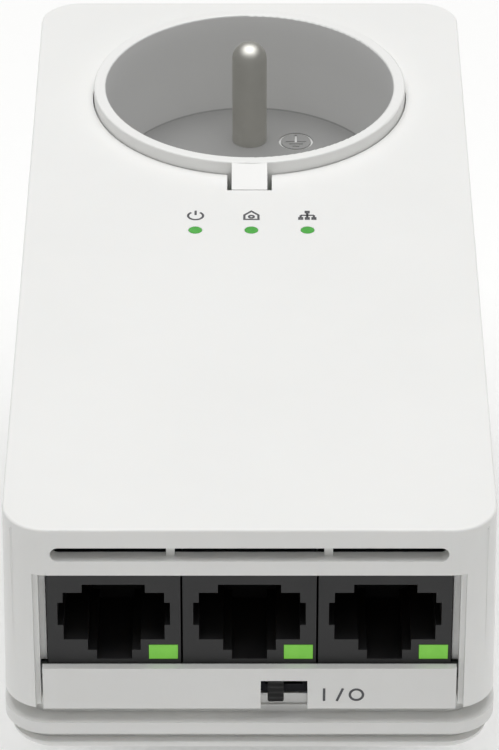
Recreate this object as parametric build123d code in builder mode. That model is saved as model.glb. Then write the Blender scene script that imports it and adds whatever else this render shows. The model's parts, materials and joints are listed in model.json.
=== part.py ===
from build123d import *
from math import cos, radians, sin
import os

os.makedirs("parts", exist_ok=True)

# Powerline network adapter with a pass-through mains outlet.
#
# Frame: the origin is midway between the two line pins, on the face of the plug
# that meets a wall outlet. +Z points out of the wall, through the adapter to its
# top face. -Y is the end with the network ports and +Y the end with the outlet.
# Every size is in millimetres.

# ----------------------------------------------------------------------------
# Driving dimensions
# ----------------------------------------------------------------------------

# Body
body_width = 58.5
body_length = 130.0
body_thickness = 32.3
outlet_to_far_end = 26.9
plan_corner = 5.5
wall = 2.0
roof = 2.0
cover_height = 26.2
cover_lean = 0.35           # each long side stands this much further out at the cover's foot
top_edge_round = 0.3

# Rear housing, a tray built of tiers from its underside up
foot_tier_height = 1.0
foot_tier_inset = 0.35
foot_edge_round = 0.8
foot_groove_height = 1.25
foot_groove_depth = 1.2
band_height = 1.7
band_proud = 0.45
floor = 2.0
lip_overlap = 2.9           # how far the tray's lip reaches up inside the cover
lip_thickness = 1.6
lip_gap = 0.15

# Mains plug and outlet, French and European pattern
pin_radius = 2.4
pin_spread = 19.0
pin_reach = 19.0
pin_root_radius = 2.0
pin_recess_radius = 3.0     # shallow recess around each pin in the plug's face
pin_recess_depth = 0.3
pin_flange_radius = 3.4
pin_flange_height = 2.0
rivet_radius = 1.5
rivet_height = 1.6
earth_offset = 10.0
fit_gap = 0.05              # radial gap of parts that are pressed or clipped together
slip_gap = 0.15             # gap of parts that only have to pass each other
cut_margin = 1.0            # how far a cut runs past the faces that it opens

# Plug body
plug_height = 17.5
plug_radius = 18.3
plug_wall = 2.7
plug_face_thickness = 3.0
plug_edge_round = 0.6
plug_rise = 6.0             # how far the plug body stands up inside the tray
plug_flange_width = 1.9
plug_flange_thickness = 1.5
plug_ear_reach = 24.0
plug_ear_angle = 30.0       # from the X axis
plug_ear_radius = 3.0
plug_ear_thickness = 1.5
plug_ear_lift = 2.5
guide_notch_width = 5.4
guide_notch_depth = 1.6
guide_notch_stop = 2.0      # how far the notches end before the tray
earth_hole_radius = 2.75

# Outlet insert: collar, well and floor in one moulding
collar_radius = 21.24
collar_height = 1.9
collar_edge_round = 0.25
well_mouth_radius = 19.66
well_floor_radius = 18.7
well_depth = 14.5
well_floor_thickness = 2.0
well_body_radius = 20.8
outlet_flange_drop = 4.0
outlet_flange_thickness = 1.5
outlet_flange_width = 1.4
outlet_ear_reach = 24.6
outlet_ear_angle = 60.0     # from the X axis
outlet_ear_radius = 3.0
outlet_post_radius = 2.6
line_hole_radius = 2.65
tongue_width = 4.73
tongue_reach = 3.8
tongue_slot = 0.58
tongue_root = 0.5           # how far the tongue runs into the collar's wall
tongue_drop = 0.15          # the tongue's top under the collar's rim
tongue_setback = 0.1        # where its slope starts, inside the collar's outer side
earth_pin_proud = 2.7       # the earth pin's tip above the top face
symbol_radius = 2.4
symbol_line = 0.32
symbol_depth = 0.25
symbol_place = (6.5, 9.4)
symbol_stem = (0.84, 1.92)  # its middle over the ring's middle, and its length
symbol_bars = ((-0.12, 2.88), (-0.744, 1.92), (-1.368, 0.96))

# Contact block, shutter and spring under the well
block_radius = 17.8
block_height = 9.2
chamber_depth = 5.5
chamber_spare = 0.7         # room left between the open shutter and the chamber's front
shutter_gap = 0.3
shutter_width = 26.8
shutter_cover_edge = 3.4    # how far the closed shutter reaches past the line holes' centres
shutter_back_edge = 9.0
shutter_travel = 6.5
shutter_thin_edge = 0.8
shutter_flat_edge = 2.9
spring_radius = 1.5
spring_wire_radius = 0.2
spring_turns = 6
spring_pocket_depth = 6.0
block_screw_place = (11.0, 10.0)
block_boss_radius = 2.6
block_boss_height = 5.0

# Brass strips
strip = 0.8
contact_width = 6.0
clip_height = 7.2
clip_gap = 0.05
clip_reach_in_block = 2.2
contact_tail_end = 3.0
earth_bar_width = 5.0
earth_bar_rim = 2.0         # the bar's metal around the earth hole
earth_clip_height = 12.5
earth_sleeve_radius = 2.45
earth_sleeve_wall = 0.75
earth_sleeve_height = 11.0
earth_sleeve_slit = 0.8
earth_sleeve_foot = 3.0     # the whole ring under the slit
earth_strap_width = 6.0
earth_strap_gap = 0.6       # between the strap and the plug's wall

# Network ports
port_count = 3
port_pitch = 16.15
port_width = 15.9
port_height = 13.4
port_depth = 18.0
port_setback = 1.1
port_cavity_depth = 12.5
port_steps = (              # width and the heights of its foot and head over the port's foot
    (4.2, 0.86, 2.4),
    (6.3, 2.18, 4.0),
    (12.05, 3.74, 10.6),
    (13.4, 5.87, 9.14),
    (7.5, 10.0, 11.78),
)
port_wire_count = 8
port_wire_pitch = 0.85
port_wire = 0.35
port_wire_setback = 2.0     # the wires' bend behind the jack's face
port_wire_bend = 1.2
port_wire_tail_gap = 3.0    # the free ends before the cavity's back wall
port_wire_tail_cut = 0.2
port_wire_drop = 2.0        # the free ends under the roof
port_light_width = 3.45
port_light_height = 2.05
port_light_depth = 10.0
port_light_offset = 5.85
port_light_foot = 0.86

# Openings of the port end
opening_top_drop = 6.5
opening_rebate_width = 0.65
opening_rebate_depth = 1.0
opening_side_gap = 0.95
cheek_depth = 5.0
vent_length = 47.0
vent_height = 1.9
vent_drop = 3.52
vent_bar_width = 1.03
vent_bar_place = 9.33
vent_bar_setback = 1.2
panel_gap = 0.25
panel_thickness = 1.0
panel_over_board = 0.2

# Circuit board
board_drop = 20.4           # the board's top under the top face
board_thickness = 1.6
board_to_outlet = 27.1      # the board's far edge from the outlet's centre
board_side_gap = 0.5
board_hole_gap = 0.3

# Slide switch for the network function
switch_place = 4.15
switch_travel = 2.0
knob_width = 1.95
knob_drop = 1.75            # the knob's foot under the switch body's middle
knob_depth = 2.0
knob_edge_round = 0.15
knob_foot_height = 1.8
knob_foot_depth = 1.0
switch_body_width = 8.6
switch_body_height = 3.4
switch_body_depth = 3.4
switch_frame_sheet = 0.3
switch_setback = 2.45
switch_slot_height = 1.2
switch_chamber_height = 2.2
switch_chamber_depth = 1.5
notch_width = 5.6
notch_roof_drop = 0.05      # the notch's top under the board's underside

# Indicators
indicator_pitch = 7.3
indicator_centre = 0.25
indicator_from_outlet = 35.3
indicator_radius = 0.86
guide_end_gap = 0.4
guide_bar_drop = 4.3
guide_bar_thickness = 1.4
led_size = (1.6, 0.8, 0.7)

# Screws
screw_radius = 1.1
screw_length = 11.0
screw_head_radius = 2.3
screw_head_height = 1.6
recess_depth_share = 0.6     # cross recess, as shares of the head's height and radius
recess_arm_share = 0.55
recess_rib_share = 0.16
post_radius = 2.8
tray_boss_radius = 4.0
screw_sink = 3.0
tray_boss_height = 5.0
post_to_lip = 0.3
front_screw_from_ports = 24.0
small_screw_radius = 0.95
small_head_radius = 1.9
small_head_height = 1.4
board_screw_inset = 2.9
board_screw_from_back = 5.8
board_screw_from_post = 11.6
board_screw_reach = 4.0     # the board screws' shanks under the board

# Underside vents
base_vent_count = 7
base_vent_pitch = 4.0
base_vent_width = 1.6
base_vent_length = 22.0
base_vent_from_ports = 36.0

# Components: places are (x, distance from the board's far edge)
chip_edge = 0.2
crystal_edge = 0.5
case_edge = 0.4
processor_place = (5.0, 40.0)
processor_size = (14.0, 14.0, 1.2)
thermal_pad_size = (12.0, 12.0, 0.8)
heat_sink_size = (20.0, 20.0, 9.0)
heat_sink_base = 2.0
heat_sink_fins = 7
heat_sink_fin = 1.0
network_chip_place = (-13.0, 44.0)
network_chip_size = (10.0, 10.0, 1.0)
memory_chip_place = (-13.0, 31.5)
memory_chip_size = (8.0, 10.0, 1.0)
crystal_place = (-3.0, 54.0)
crystal_size = (7.0, 4.0, 3.4)
transformer_place = (-13.5, 17.0)
transformer_core_size = (15.0, 12.0, 13.0)
transformer_window = (9.0, 7.0)
transformer_leg = 4.5
winding_wall = 0.6
choke_place = (14.5, 13.5)
choke_radius = 6.0
choke_bore = 3.0
choke_height = 6.0
choke_winding = 0.7
can_places = ((1.5, 22.0), (19.0, 24.5))
can_radius = 4.0
can_height = 12.5
can_groove = 0.35
can_groove_foot = 1.2
can_groove_half = 0.5
can_top_edge = 0.3
film_capacitor_place = (-8.0, 4.2)
film_capacitor_size = (13.0, 5.0, 11.0)
film_capacitor_round = 0.6
fuse_place = (15.0, 4.4)
fuse_radius = 2.0
fuse_length = 9.0
fuse_cap_length = 2.2
fuse_glass_inset = 0.2
varistor_place = (3.0, 4.0)
varistor_radius = 3.6
varistor_thickness = 3.0
varistor_rim_flat = 0.2
rectifier_place = (-19.5, 31.0)
rectifier_size = (3.0, 6.5, 5.0)
coupling_place = (19.5, 33.5)
coupling_size = (7.0, 8.0, 5.5)

# ----------------------------------------------------------------------------
# Places worked out from the driving dimensions
# ----------------------------------------------------------------------------

base_z = plug_height
top_z = base_z + body_thickness
roof_z = top_z - roof
cover_foot_z = top_z - cover_height
port_y = outlet_to_far_end - body_length
far_y = outlet_to_far_end
middle_y = (port_y + far_y) / 2
inner_half = body_width / 2 - wall
lip_half = inner_half - lip_gap
tray_half = lip_half - lip_thickness
lip_front_y = port_y + wall + lip_gap
tray_front_y = lip_front_y + lip_thickness
floor_z = base_z + floor
band_top_z = base_z + foot_tier_height + foot_groove_height + band_height
lip_top_z = cover_foot_z + lip_overlap
board_z = top_z - board_drop
board_foot_z = board_z - board_thickness
board_front_y = port_y + panel_thickness + slip_gap
board_back_y = -board_to_outlet
board_half = tray_half - board_side_gap
pin_x = pin_spread / 2
well_floor_z = top_z + collar_height - well_depth
well_under_z = well_floor_z - well_floor_thickness
block_foot_z = well_under_z - block_height
chamber_floor_z = well_under_z - chamber_depth
port_row_half = (port_count - 1) / 2 * port_pitch + port_width / 2
inner_opening_half = port_row_half + opening_side_gap
outer_opening_half = inner_opening_half + opening_rebate_width
cheek_half = port_row_half + slip_gap
opening_top_z = top_z - opening_top_drop
panel_half = inner_opening_half - panel_gap
panel_top_z = board_z + panel_over_board
collar_hole_radius = collar_radius + slip_gap
indicator_y = -indicator_from_outlet
indicator_xs = [indicator_centre + n * indicator_pitch for n in (-1, 0, 1)]
port_xs = [(n - (port_count - 1) / 2) * port_pitch for n in range(port_count)]
port_names = ("left", "middle", "right")
screw_x = tray_half - post_radius - post_to_lip
front_screw_y = port_y + front_screw_from_ports
rear_screw_y = far_y - (wall + lip_gap + lip_thickness) - post_radius - post_to_lip
housing_screw_tip_z = base_z + screw_sink + screw_length + cut_margin
housing_screw_places = [(side * screw_x, y) for y in (front_screw_y, rear_screw_y) for side in (-1, 1)]
board_screw_places = [
    (side * (board_half - board_screw_inset), y)
    for y in (board_back_y - board_screw_from_back, front_screw_y + board_screw_from_post)
    for side in (-1, 1)
]


def around(reach, angles):
    """Places on a circle about the outlet's axis."""
    return [(reach * cos(radians(a)), reach * sin(radians(a))) for a in angles]


plug_ear_places = around(
    plug_ear_reach, (plug_ear_angle, 180 - plug_ear_angle, 180 + plug_ear_angle, -plug_ear_angle)
)
outlet_ear_places = around(
    outlet_ear_reach,
    (outlet_ear_angle, 180 - outlet_ear_angle, 180 + outlet_ear_angle, -outlet_ear_angle),
)
block_screw_places = [(side * block_screw_place[0], block_screw_place[1]) for side in (-1, 1)]

centred_foot = (Align.CENTER, Align.CENTER, Align.MIN)


def block(x_span, y_span, z_span, mode=Mode.ADD):
    """A rectangular block, or cut, between two values on each axis."""
    sizes = [high - low for low, high in (x_span, y_span, z_span)]
    middle = [(low + high) / 2 for low, high in (x_span, y_span, z_span)]
    with Locations(tuple(middle)):
        Box(*sizes, mode=mode)


def posts(radius, places, foot, head, mode=Mode.ADD):
    """Upright round posts, or holes, between two heights."""
    with Locations(*[(x, y, foot) for x, y in places]):
        Cylinder(radius, head - foot, align=centred_foot, mode=mode)


def cross_screws(places, head_z, direction, radius, head_radius, head_height, length):
    """Round-headed cross-recess screws, head at head_z and shank along direction (+1 or -1)."""
    for x, y in places:
        shank_z = sorted((head_z, head_z + direction * length))
        head_span = sorted((head_z, head_z - direction * head_height))
        posts(radius, [(x, y)], *shank_z)
        posts(head_radius, [(x, y)], *head_span)
        outer_z = head_z - direction * head_height
        recess_z = sorted((outer_z, outer_z + direction * head_height * recess_depth_share))
        arm = head_radius * recess_arm_share
        rib = head_radius * recess_rib_share
        block((x - arm, x + arm), (y - rib, y + rib), recess_z, mode=Mode.SUBTRACT)
        block((x - rib, x + rib), (y - arm, y + arm), recess_z, mode=Mode.SUBTRACT)


# ----------------------------------------------------------------------------
# Housing
# ----------------------------------------------------------------------------

with BuildPart() as front_cover:
    # The long sides lean out towards the foot, and the ends stay upright.
    with BuildSketch(Plane((0, middle_y, cover_foot_z))):
        RectangleRounded(body_width + 2 * cover_lean, body_length, plan_corner)
    with BuildSketch(Plane((0, middle_y, top_z))):
        RectangleRounded(body_width, body_length, plan_corner)
    loft()
    fillet(front_cover.faces().sort_by(Axis.Z)[-1].edges(), top_edge_round)
    with BuildSketch(Plane((0, middle_y, cover_foot_z))):
        RectangleRounded(2 * inner_half, body_length - 2 * wall, plan_corner - wall)
    extrude(amount=cover_height - roof, mode=Mode.SUBTRACT)
    # Cheeks beside the port row, behind the end wall
    for side in (-1, 1):
        block(
            sorted((side * cheek_half, side * (inner_half + wall / 2))),
            (port_y + wall, port_y + cheek_depth),
            (board_z + slip_gap, roof_z + roof / 2),
        )
    # Posts for the housing screws and for the outlet's ears
    posts(post_radius, housing_screw_places, floor_z + tray_boss_height + slip_gap, roof_z + roof / 2)
    posts(outlet_post_radius, outlet_ear_places, top_z - outlet_flange_drop, roof_z + roof / 2)
    posts(
        screw_radius + fit_gap, housing_screw_places,
        floor_z + tray_boss_height, housing_screw_tip_z, mode=Mode.SUBTRACT,
    )
    posts(
        small_screw_radius + fit_gap, outlet_ear_places,
        top_z - outlet_flange_drop, top_z - roof / 2, mode=Mode.SUBTRACT,
    )
    # Hole for the collar, with its notch for the tongue
    posts(collar_hole_radius, [(0, 0)], roof_z - cut_margin, top_z + cut_margin, mode=Mode.SUBTRACT)
    notch_half = tongue_width / 2 + tongue_slot
    block(
        (-notch_half, notch_half),
        (-(collar_radius + tongue_reach + slip_gap), 0),
        (roof_z - cut_margin, top_z + cut_margin), mode=Mode.SUBTRACT,
    )
    # Port opening: a shallow rebate, then the opening itself, then the cheeks' edge
    for half, near, far in (
        (outer_opening_half, -cut_margin, opening_rebate_depth),
        (inner_opening_half, 0, wall),
        (cheek_half, 0, cheek_depth + cut_margin),
    ):
        block(
            (-half, half), (port_y + near, port_y + far),
            (cover_foot_z - cut_margin, opening_top_z), mode=Mode.SUBTRACT,
        )
    # Below the board's top the opening keeps its width, clear of the rounded inner corners.
    block(
        (-inner_opening_half, inner_opening_half), (port_y, port_y + cheek_depth),
        (cover_foot_z - cut_margin, board_z + slip_gap), mode=Mode.SUBTRACT,
    )
    # Vent slot, crossed by two set-back bars
    with BuildSketch(Plane.XZ.offset(-port_y)):
        with Locations((0, top_z - vent_drop)):
            SlotOverall(vent_length, vent_height)
    extrude(amount=-(wall + cut_margin), mode=Mode.SUBTRACT)
    for side in (-1, 1):
        middle = side * vent_bar_place
        block(
            (middle - vent_bar_width / 2, middle + vent_bar_width / 2),
            (port_y + vent_bar_setback, port_y + wall),
            (top_z - vent_drop - vent_height / 2, top_z - vent_drop + vent_height / 2),
        )
    # Holes for the indicators
    posts(
        indicator_radius + fit_gap, [(x, indicator_y) for x in indicator_xs],
        roof_z - cut_margin, top_z + cut_margin, mode=Mode.SUBTRACT,
    )
front_cover.part.label = "front_cover"
export_step(front_cover.part, "parts/front_cover.step")

with BuildPart() as rear_housing:
    # Foot tier, shadow groove, band, then the lip that the cover slides over
    with BuildSketch(Plane((0, middle_y, base_z))):
        RectangleRounded(body_width - 2 * foot_tier_inset, body_length, plan_corner)
    extrude(amount=foot_tier_height)
    fillet(rear_housing.faces().sort_by(Axis.Z)[0].edges(), foot_edge_round)
    with BuildSketch(Plane((0, middle_y, base_z + foot_tier_height))):
        RectangleRounded(
            body_width - 2 * foot_groove_depth, body_length - 2 * foot_groove_depth,
            plan_corner - foot_groove_depth,
        )
    extrude(amount=foot_groove_height)
    with BuildSketch(Plane((0, middle_y, band_top_z - band_height))):
        RectangleRounded(body_width + 2 * band_proud, body_length, plan_corner)
    extrude(amount=band_height)
    with BuildSketch(Plane((0, middle_y, band_top_z))):
        RectangleRounded(2 * lip_half, body_length - 2 * (wall + lip_gap), plan_corner - wall)
    extrude(amount=lip_top_z - band_top_z)
    with BuildSketch(Plane((0, middle_y, floor_z))):
        RectangleRounded(
            2 * tray_half, body_length - 2 * (wall + lip_gap + lip_thickness),
            plan_corner - wall - lip_thickness,
        )
    extrude(amount=body_thickness, mode=Mode.SUBTRACT)
    # Panel under the ports, flush with the cover's end wall
    block(
        (-panel_half, panel_half), (port_y, lip_front_y + lip_thickness / 2),
        (cover_foot_z, lip_top_z),
    )
    block((-panel_half, panel_half), (port_y, port_y + panel_thickness), (cover_foot_z, panel_top_z))
    # Notch for the switch knob, and room for the switch behind the panel
    block(
        (switch_place - notch_width / 2, switch_place + notch_width / 2),
        (port_y - cut_margin, port_y + switch_setback),
        (cover_foot_z - cut_margin, board_foot_z - notch_roof_drop),
        mode=Mode.SUBTRACT,
    )
    switch_room = switch_body_width / 2 + 2 * slip_gap
    block(
        (switch_place - switch_room, switch_place + switch_room),
        (port_y + panel_thickness, tray_front_y + cut_margin),
        (board_foot_z - switch_body_height - 2 * slip_gap, board_z),
        mode=Mode.SUBTRACT,
    )
    # Bosses for the housing screws, the plug's ears and the board
    posts(tray_boss_radius, housing_screw_places, floor_z - floor / 2, floor_z + tray_boss_height)
    posts(plug_ear_radius, plug_ear_places, floor_z - floor / 2, floor_z + plug_ear_lift)
    posts(post_radius, board_screw_places, floor_z - floor / 2, board_foot_z)
    posts(
        small_screw_radius + fit_gap, plug_ear_places + board_screw_places,
        floor_z - floor / 2, board_foot_z + cut_margin, mode=Mode.SUBTRACT,
    )
    posts(
        screw_radius + slip_gap, housing_screw_places,
        base_z - cut_margin, floor_z + tray_boss_height + cut_margin, mode=Mode.SUBTRACT,
    )
    posts(
        screw_head_radius + 2 * slip_gap, housing_screw_places,
        base_z - cut_margin, base_z + screw_sink, mode=Mode.SUBTRACT,
    )
    # Hole for the plug body
    posts(plug_radius + slip_gap, [(0, 0)], base_z - cut_margin, floor_z + cut_margin, mode=Mode.SUBTRACT)
    # Vent slots through the floor
    with BuildSketch(Plane.XY.offset(base_z)):
        with Locations((0, port_y + base_vent_from_ports)):
            with GridLocations(base_vent_pitch, 1, base_vent_count, 1):
                SlotOverall(base_vent_length, base_vent_width, rotation=90)
    extrude(amount=floor, mode=Mode.SUBTRACT)
rear_housing.part.label = "rear_housing"
export_step(rear_housing.part, "parts/rear_housing.step")


with BuildPart() as housing_screws:
    cross_screws(
        housing_screw_places, base_z + screw_sink, 1,
        screw_radius, screw_head_radius, screw_head_height, screw_length,
    )
housing_screws.part.label = "housing_screws"
export_step(housing_screws.part, "parts/housing_screws.step")

# ----------------------------------------------------------------------------
# Outlet
# ----------------------------------------------------------------------------

flange_top_z = top_z - outlet_flange_drop
flange_foot_z = flange_top_z - outlet_flange_thickness

with BuildPart() as outlet_insert:
    with BuildSketch(Plane.XZ):
        with BuildLine():
            Polyline(
                (0, well_under_z),
                (well_body_radius, well_under_z),
                (well_body_radius, flange_foot_z),
                (collar_radius + outlet_flange_width, flange_foot_z),
                (collar_radius + outlet_flange_width, flange_top_z),
                (collar_radius, flange_top_z),
                (collar_radius, top_z + collar_height),
                (well_mouth_radius, top_z + collar_height),
                (well_floor_radius, well_floor_z),
                (0, well_floor_z),
                close=True,
            )
        make_face()
    revolve(axis=Axis.Z)
    rim = outlet_insert.edges().filter_by(GeomType.CIRCLE).group_by(Axis.Z)[-1]
    fillet(rim, collar_edge_round)
    # Tongue that slopes from the collar's rim down to the top face
    tongue_end = -(collar_radius + tongue_reach)
    with BuildSketch(Plane.YZ):
        with BuildLine():
            Polyline(
                (-well_mouth_radius - tongue_root, flange_foot_z),
                (tongue_end, flange_foot_z),
                (tongue_end, top_z),
                (-collar_radius + tongue_setback, top_z + collar_height - tongue_drop),
                (-well_mouth_radius - tongue_root, top_z + collar_height - tongue_drop),
                close=True,
            )
        make_face()
    extrude(amount=tongue_width / 2, both=True)
    # Ears for the screws into the cover
    for x, y in outlet_ear_places:
        with BuildSketch(Plane.XY.offset(flange_foot_z)):
            with Locations((x, y)):
                Circle(outlet_ear_radius)
        extrude(amount=outlet_flange_thickness)
    posts(
        small_screw_radius + slip_gap, outlet_ear_places,
        flange_foot_z - cut_margin, flange_top_z + cut_margin, mode=Mode.SUBTRACT,
    )
    # Bosses under the floor for the contact block
    posts(
        block_boss_radius, block_screw_places,
        well_under_z - block_boss_height, well_under_z + well_floor_thickness / 2,
    )
    posts(
        small_screw_radius + fit_gap, block_screw_places,
        well_under_z - block_boss_height - cut_margin, well_under_z - slip_gap, mode=Mode.SUBTRACT,
    )
    # Line holes and the hole that holds the earth pin
    posts(
        line_hole_radius, [(-pin_x, 0), (pin_x, 0)],
        well_under_z - cut_margin, well_floor_z + cut_margin, mode=Mode.SUBTRACT,
    )
    posts(
        pin_root_radius + fit_gap, [(0, earth_offset)],
        well_under_z - cut_margin, well_floor_z + cut_margin, mode=Mode.SUBTRACT,
    )
    # Engraved earth sign, a ring around a stem and three bars
    with BuildSketch(Plane.XY.offset(well_floor_z)):
        with Locations(symbol_place):
            Circle(symbol_radius)
            Circle(symbol_radius - symbol_line, mode=Mode.SUBTRACT)
            with Locations((0, symbol_stem[0])):
                Rectangle(symbol_line, symbol_stem[1])
            for bar_y, bar_length in symbol_bars:
                with Locations((0, bar_y)):
                    Rectangle(bar_length, symbol_line)
    extrude(amount=-symbol_depth, mode=Mode.SUBTRACT)
outlet_insert.part.label = "outlet_insert"
export_step(outlet_insert.part, "parts/outlet_insert.step")

with BuildPart() as outlet_screws:
    cross_screws(
        outlet_ear_places, flange_foot_z, 1,
        small_screw_radius, small_head_radius, small_head_height,
        outlet_flange_thickness + outlet_flange_drop - roof / 2 - slip_gap,
    )
outlet_screws.part.label = "outlet_screws"
export_step(outlet_screws.part, "parts/outlet_screws.step")

# The outlet's earth pin stands on a flange held between the floor and the block.
earth_flange_foot_z = well_under_z - pin_flange_height
earth_shoulder_z = block_foot_z - strip - rivet_height / 4
with BuildPart() as outlet_earth_pin:
    earth_tip_z = top_z + earth_pin_proud
    earth_place = [(0, earth_offset)]
    posts(pin_radius, earth_place, well_floor_z, earth_tip_z)
    fillet(outlet_earth_pin.faces().sort_by(Axis.Z)[-1].edges(), pin_radius - fit_gap)
    posts(pin_root_radius, earth_place, earth_shoulder_z, well_floor_z)
    posts(pin_flange_radius, earth_place, earth_flange_foot_z, well_under_z)
    posts(rivet_radius, earth_place, earth_shoulder_z - rivet_height, earth_shoulder_z)
outlet_earth_pin.part.label = "outlet_earth_pin"
export_step(outlet_earth_pin.part, "parts/outlet_earth_pin.step")

chamber_half = shutter_width / 2 + shutter_gap
chamber_front_y = -(shutter_back_edge + shutter_travel + chamber_spare)
chamber_back_y = shutter_cover_edge + shutter_gap
clip_inner = line_hole_radius + clip_gap
clip_pocket_gap = 2 * slip_gap
clip_top_z = block_foot_z + clip_reach_in_block
with BuildPart() as contact_block:
    posts(block_radius, [(0, 0)], block_foot_z, well_under_z)
    # Chamber in which the shutter slides, closed above by the well's floor
    block(
        (-chamber_half, chamber_half), (chamber_front_y, chamber_back_y),
        (chamber_floor_z, well_under_z + cut_margin), mode=Mode.SUBTRACT,
    )
    # Ways through for a plug's pins, and pockets for the line contacts
    posts(
        line_hole_radius + slip_gap, [(-pin_x, 0), (pin_x, 0)],
        block_foot_z - cut_margin, chamber_floor_z + cut_margin, mode=Mode.SUBTRACT,
    )
    for side in (-1, 1):
        inner_x = side * (pin_x - clip_inner - strip - clip_pocket_gap)
        outer_x = side * (pin_x + clip_inner + strip + clip_pocket_gap)
        block(
            sorted((inner_x, outer_x)),
            (-contact_width / 2 - clip_pocket_gap, contact_width / 2 + strip + clip_pocket_gap),
            (block_foot_z - cut_margin, clip_top_z + clip_pocket_gap), mode=Mode.SUBTRACT,
        )
    # Seat of the earth pin
    posts(
        pin_flange_radius + slip_gap, earth_place,
        earth_flange_foot_z, well_under_z + cut_margin, mode=Mode.SUBTRACT,
    )
    posts(
        pin_root_radius + slip_gap, earth_place,
        block_foot_z - cut_margin, well_under_z, mode=Mode.SUBTRACT,
    )
    # Wells for the insert's bosses, and holes for the screws
    posts(
        block_boss_radius + slip_gap, block_screw_places,
        well_under_z - block_boss_height - slip_gap, well_under_z + cut_margin, mode=Mode.SUBTRACT,
    )
    posts(
        small_screw_radius + slip_gap, block_screw_places,
        block_foot_z - cut_margin, well_under_z, mode=Mode.SUBTRACT,
    )
contact_block.part.label = "contact_block"
export_step(contact_block.part, "parts/contact_block.step")

with BuildPart() as contact_block_screws:
    cross_screws(
        block_screw_places, block_foot_z, 1,
        small_screw_radius, small_head_radius, small_head_height, block_height - 2 * slip_gap,
    )
contact_block_screws.part.label = "contact_block_screws"
export_step(contact_block_screws.part, "parts/contact_block_screws.step")

shutter_foot_z = chamber_floor_z + shutter_gap
shutter_top_z = well_under_z - shutter_gap
spring_z = (shutter_foot_z + shutter_top_z) / 2
with BuildPart() as safety_shutter:
    # A plug's pins press on the sloped edge and push the plate towards -Y.
    with BuildSketch(Plane.YZ):
        with BuildLine():
            Polyline(
                (-shutter_back_edge, shutter_foot_z),
                (shutter_cover_edge, shutter_foot_z),
                (shutter_cover_edge, shutter_foot_z + shutter_thin_edge),
                (-shutter_flat_edge, shutter_top_z),
                (-shutter_back_edge, shutter_top_z),
                close=True,
            )
        make_face()
    extrude(amount=shutter_width / 2, both=True)
    with BuildSketch(Plane.XZ.offset(shutter_back_edge)):
        with Locations((0, spring_z)):
            Circle(spring_radius + spring_wire_radius + slip_gap)
    extrude(amount=-spring_pocket_depth, mode=Mode.SUBTRACT)
safety_shutter.part.label = "safety_shutter"
export_step(safety_shutter.part, "parts/safety_shutter.step")

spring_start_y = chamber_front_y + spring_wire_radius + fit_gap
spring_end_y = -shutter_back_edge + spring_pocket_depth - spring_wire_radius - fit_gap
spring_length = spring_end_y - spring_start_y
with BuildPart() as shutter_spring:
    with BuildLine():
        coil = Helix(
            spring_length / spring_turns, spring_length, spring_radius,
            center=(0, spring_start_y, spring_z), direction=(0, 1, 0),
        )
    with BuildSketch(Plane(origin=coil @ 0, z_dir=coil % 0)):
        Circle(spring_wire_radius)
    sweep(path=coil, is_frenet=True)
shutter_spring.part.label = "shutter_spring"
export_step(shutter_spring.part, "parts/shutter_spring.step")

# ----------------------------------------------------------------------------
# Plug
# ----------------------------------------------------------------------------

plug_inner_radius = plug_radius - plug_wall
plug_top_z = plug_height + plug_rise
tail_x = pin_x + clip_inner + strip / 2
clip_channel = strip + 2 * fit_gap
with BuildPart() as plug_body:
    posts(plug_radius, [(0, 0)], 0, plug_top_z)
    fillet(plug_body.faces().sort_by(Axis.Z)[0].edges(), plug_edge_round)
    posts(
        plug_radius + plug_flange_width, [(0, 0)], floor_z, floor_z + plug_flange_thickness,
    )
    # Ears that reach over the tray's bosses
    ear_foot_z = floor_z + plug_ear_lift
    for angle in (plug_ear_angle, -plug_ear_angle):
        with BuildSketch(Plane.XY.offset(ear_foot_z)):
            SlotCenterToCenter(2 * plug_ear_reach, 2 * plug_ear_radius, rotation=angle)
        extrude(amount=plug_ear_thickness)
    posts(
        small_screw_radius + slip_gap, plug_ear_places, ear_foot_z - cut_margin, plug_top_z + cut_margin,
        mode=Mode.SUBTRACT,
    )
    posts(plug_inner_radius, [(0, 0)], plug_face_thickness, plug_top_z + cut_margin, mode=Mode.SUBTRACT)
    # Pin holes, earth hole and the guide notches at the sides
    posts(
        pin_root_radius + fit_gap, [(-pin_x, 0), (pin_x, 0)],
        -cut_margin, plug_face_thickness + cut_margin, mode=Mode.SUBTRACT,
    )
    posts(
        pin_recess_radius, [(-pin_x, 0), (pin_x, 0)], -cut_margin, pin_recess_depth,
        mode=Mode.SUBTRACT,
    )
    posts(
        earth_hole_radius, earth_place, -cut_margin, plug_face_thickness + cut_margin,
        mode=Mode.SUBTRACT,
    )
    for side in (-1, 1):
        notch_x = sorted((side * (plug_radius - guide_notch_depth), side * (plug_radius + cut_margin)))
        block(
            notch_x, (-guide_notch_width / 2, guide_notch_width / 2),
            (-cut_margin, plug_height - guide_notch_stop), mode=Mode.SUBTRACT,
        )
        # Channel and slot for an earth clip
        channel_reach = plug_radius - clip_channel - fit_gap
        channel_y = sorted((side * channel_reach, side * (plug_radius + cut_margin)))
        bar_half = earth_bar_width / 2 + slip_gap
        block(
            (-bar_half, bar_half), channel_y,
            (plug_face_thickness - strip, plug_face_thickness + earth_clip_height),
            mode=Mode.SUBTRACT,
        )
        slot_y = sorted((side * (plug_inner_radius - cut_margin / 2), side * (plug_radius + cut_margin)))
        block(
            (-bar_half, bar_half), slot_y,
            (plug_face_thickness, plug_face_thickness + strip + fit_gap), mode=Mode.SUBTRACT,
        )
        # Notch in the wall's top for a line contact's tail
        tail_gap = strip / 2 + 2 * slip_gap
        block(
            (side * tail_x - tail_gap, side * tail_x + tail_gap),
            (-plug_radius - plug_flange_width - cut_margin, 0),
            (floor_z + plug_flange_thickness, plug_top_z + cut_margin), mode=Mode.SUBTRACT,
        )
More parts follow.
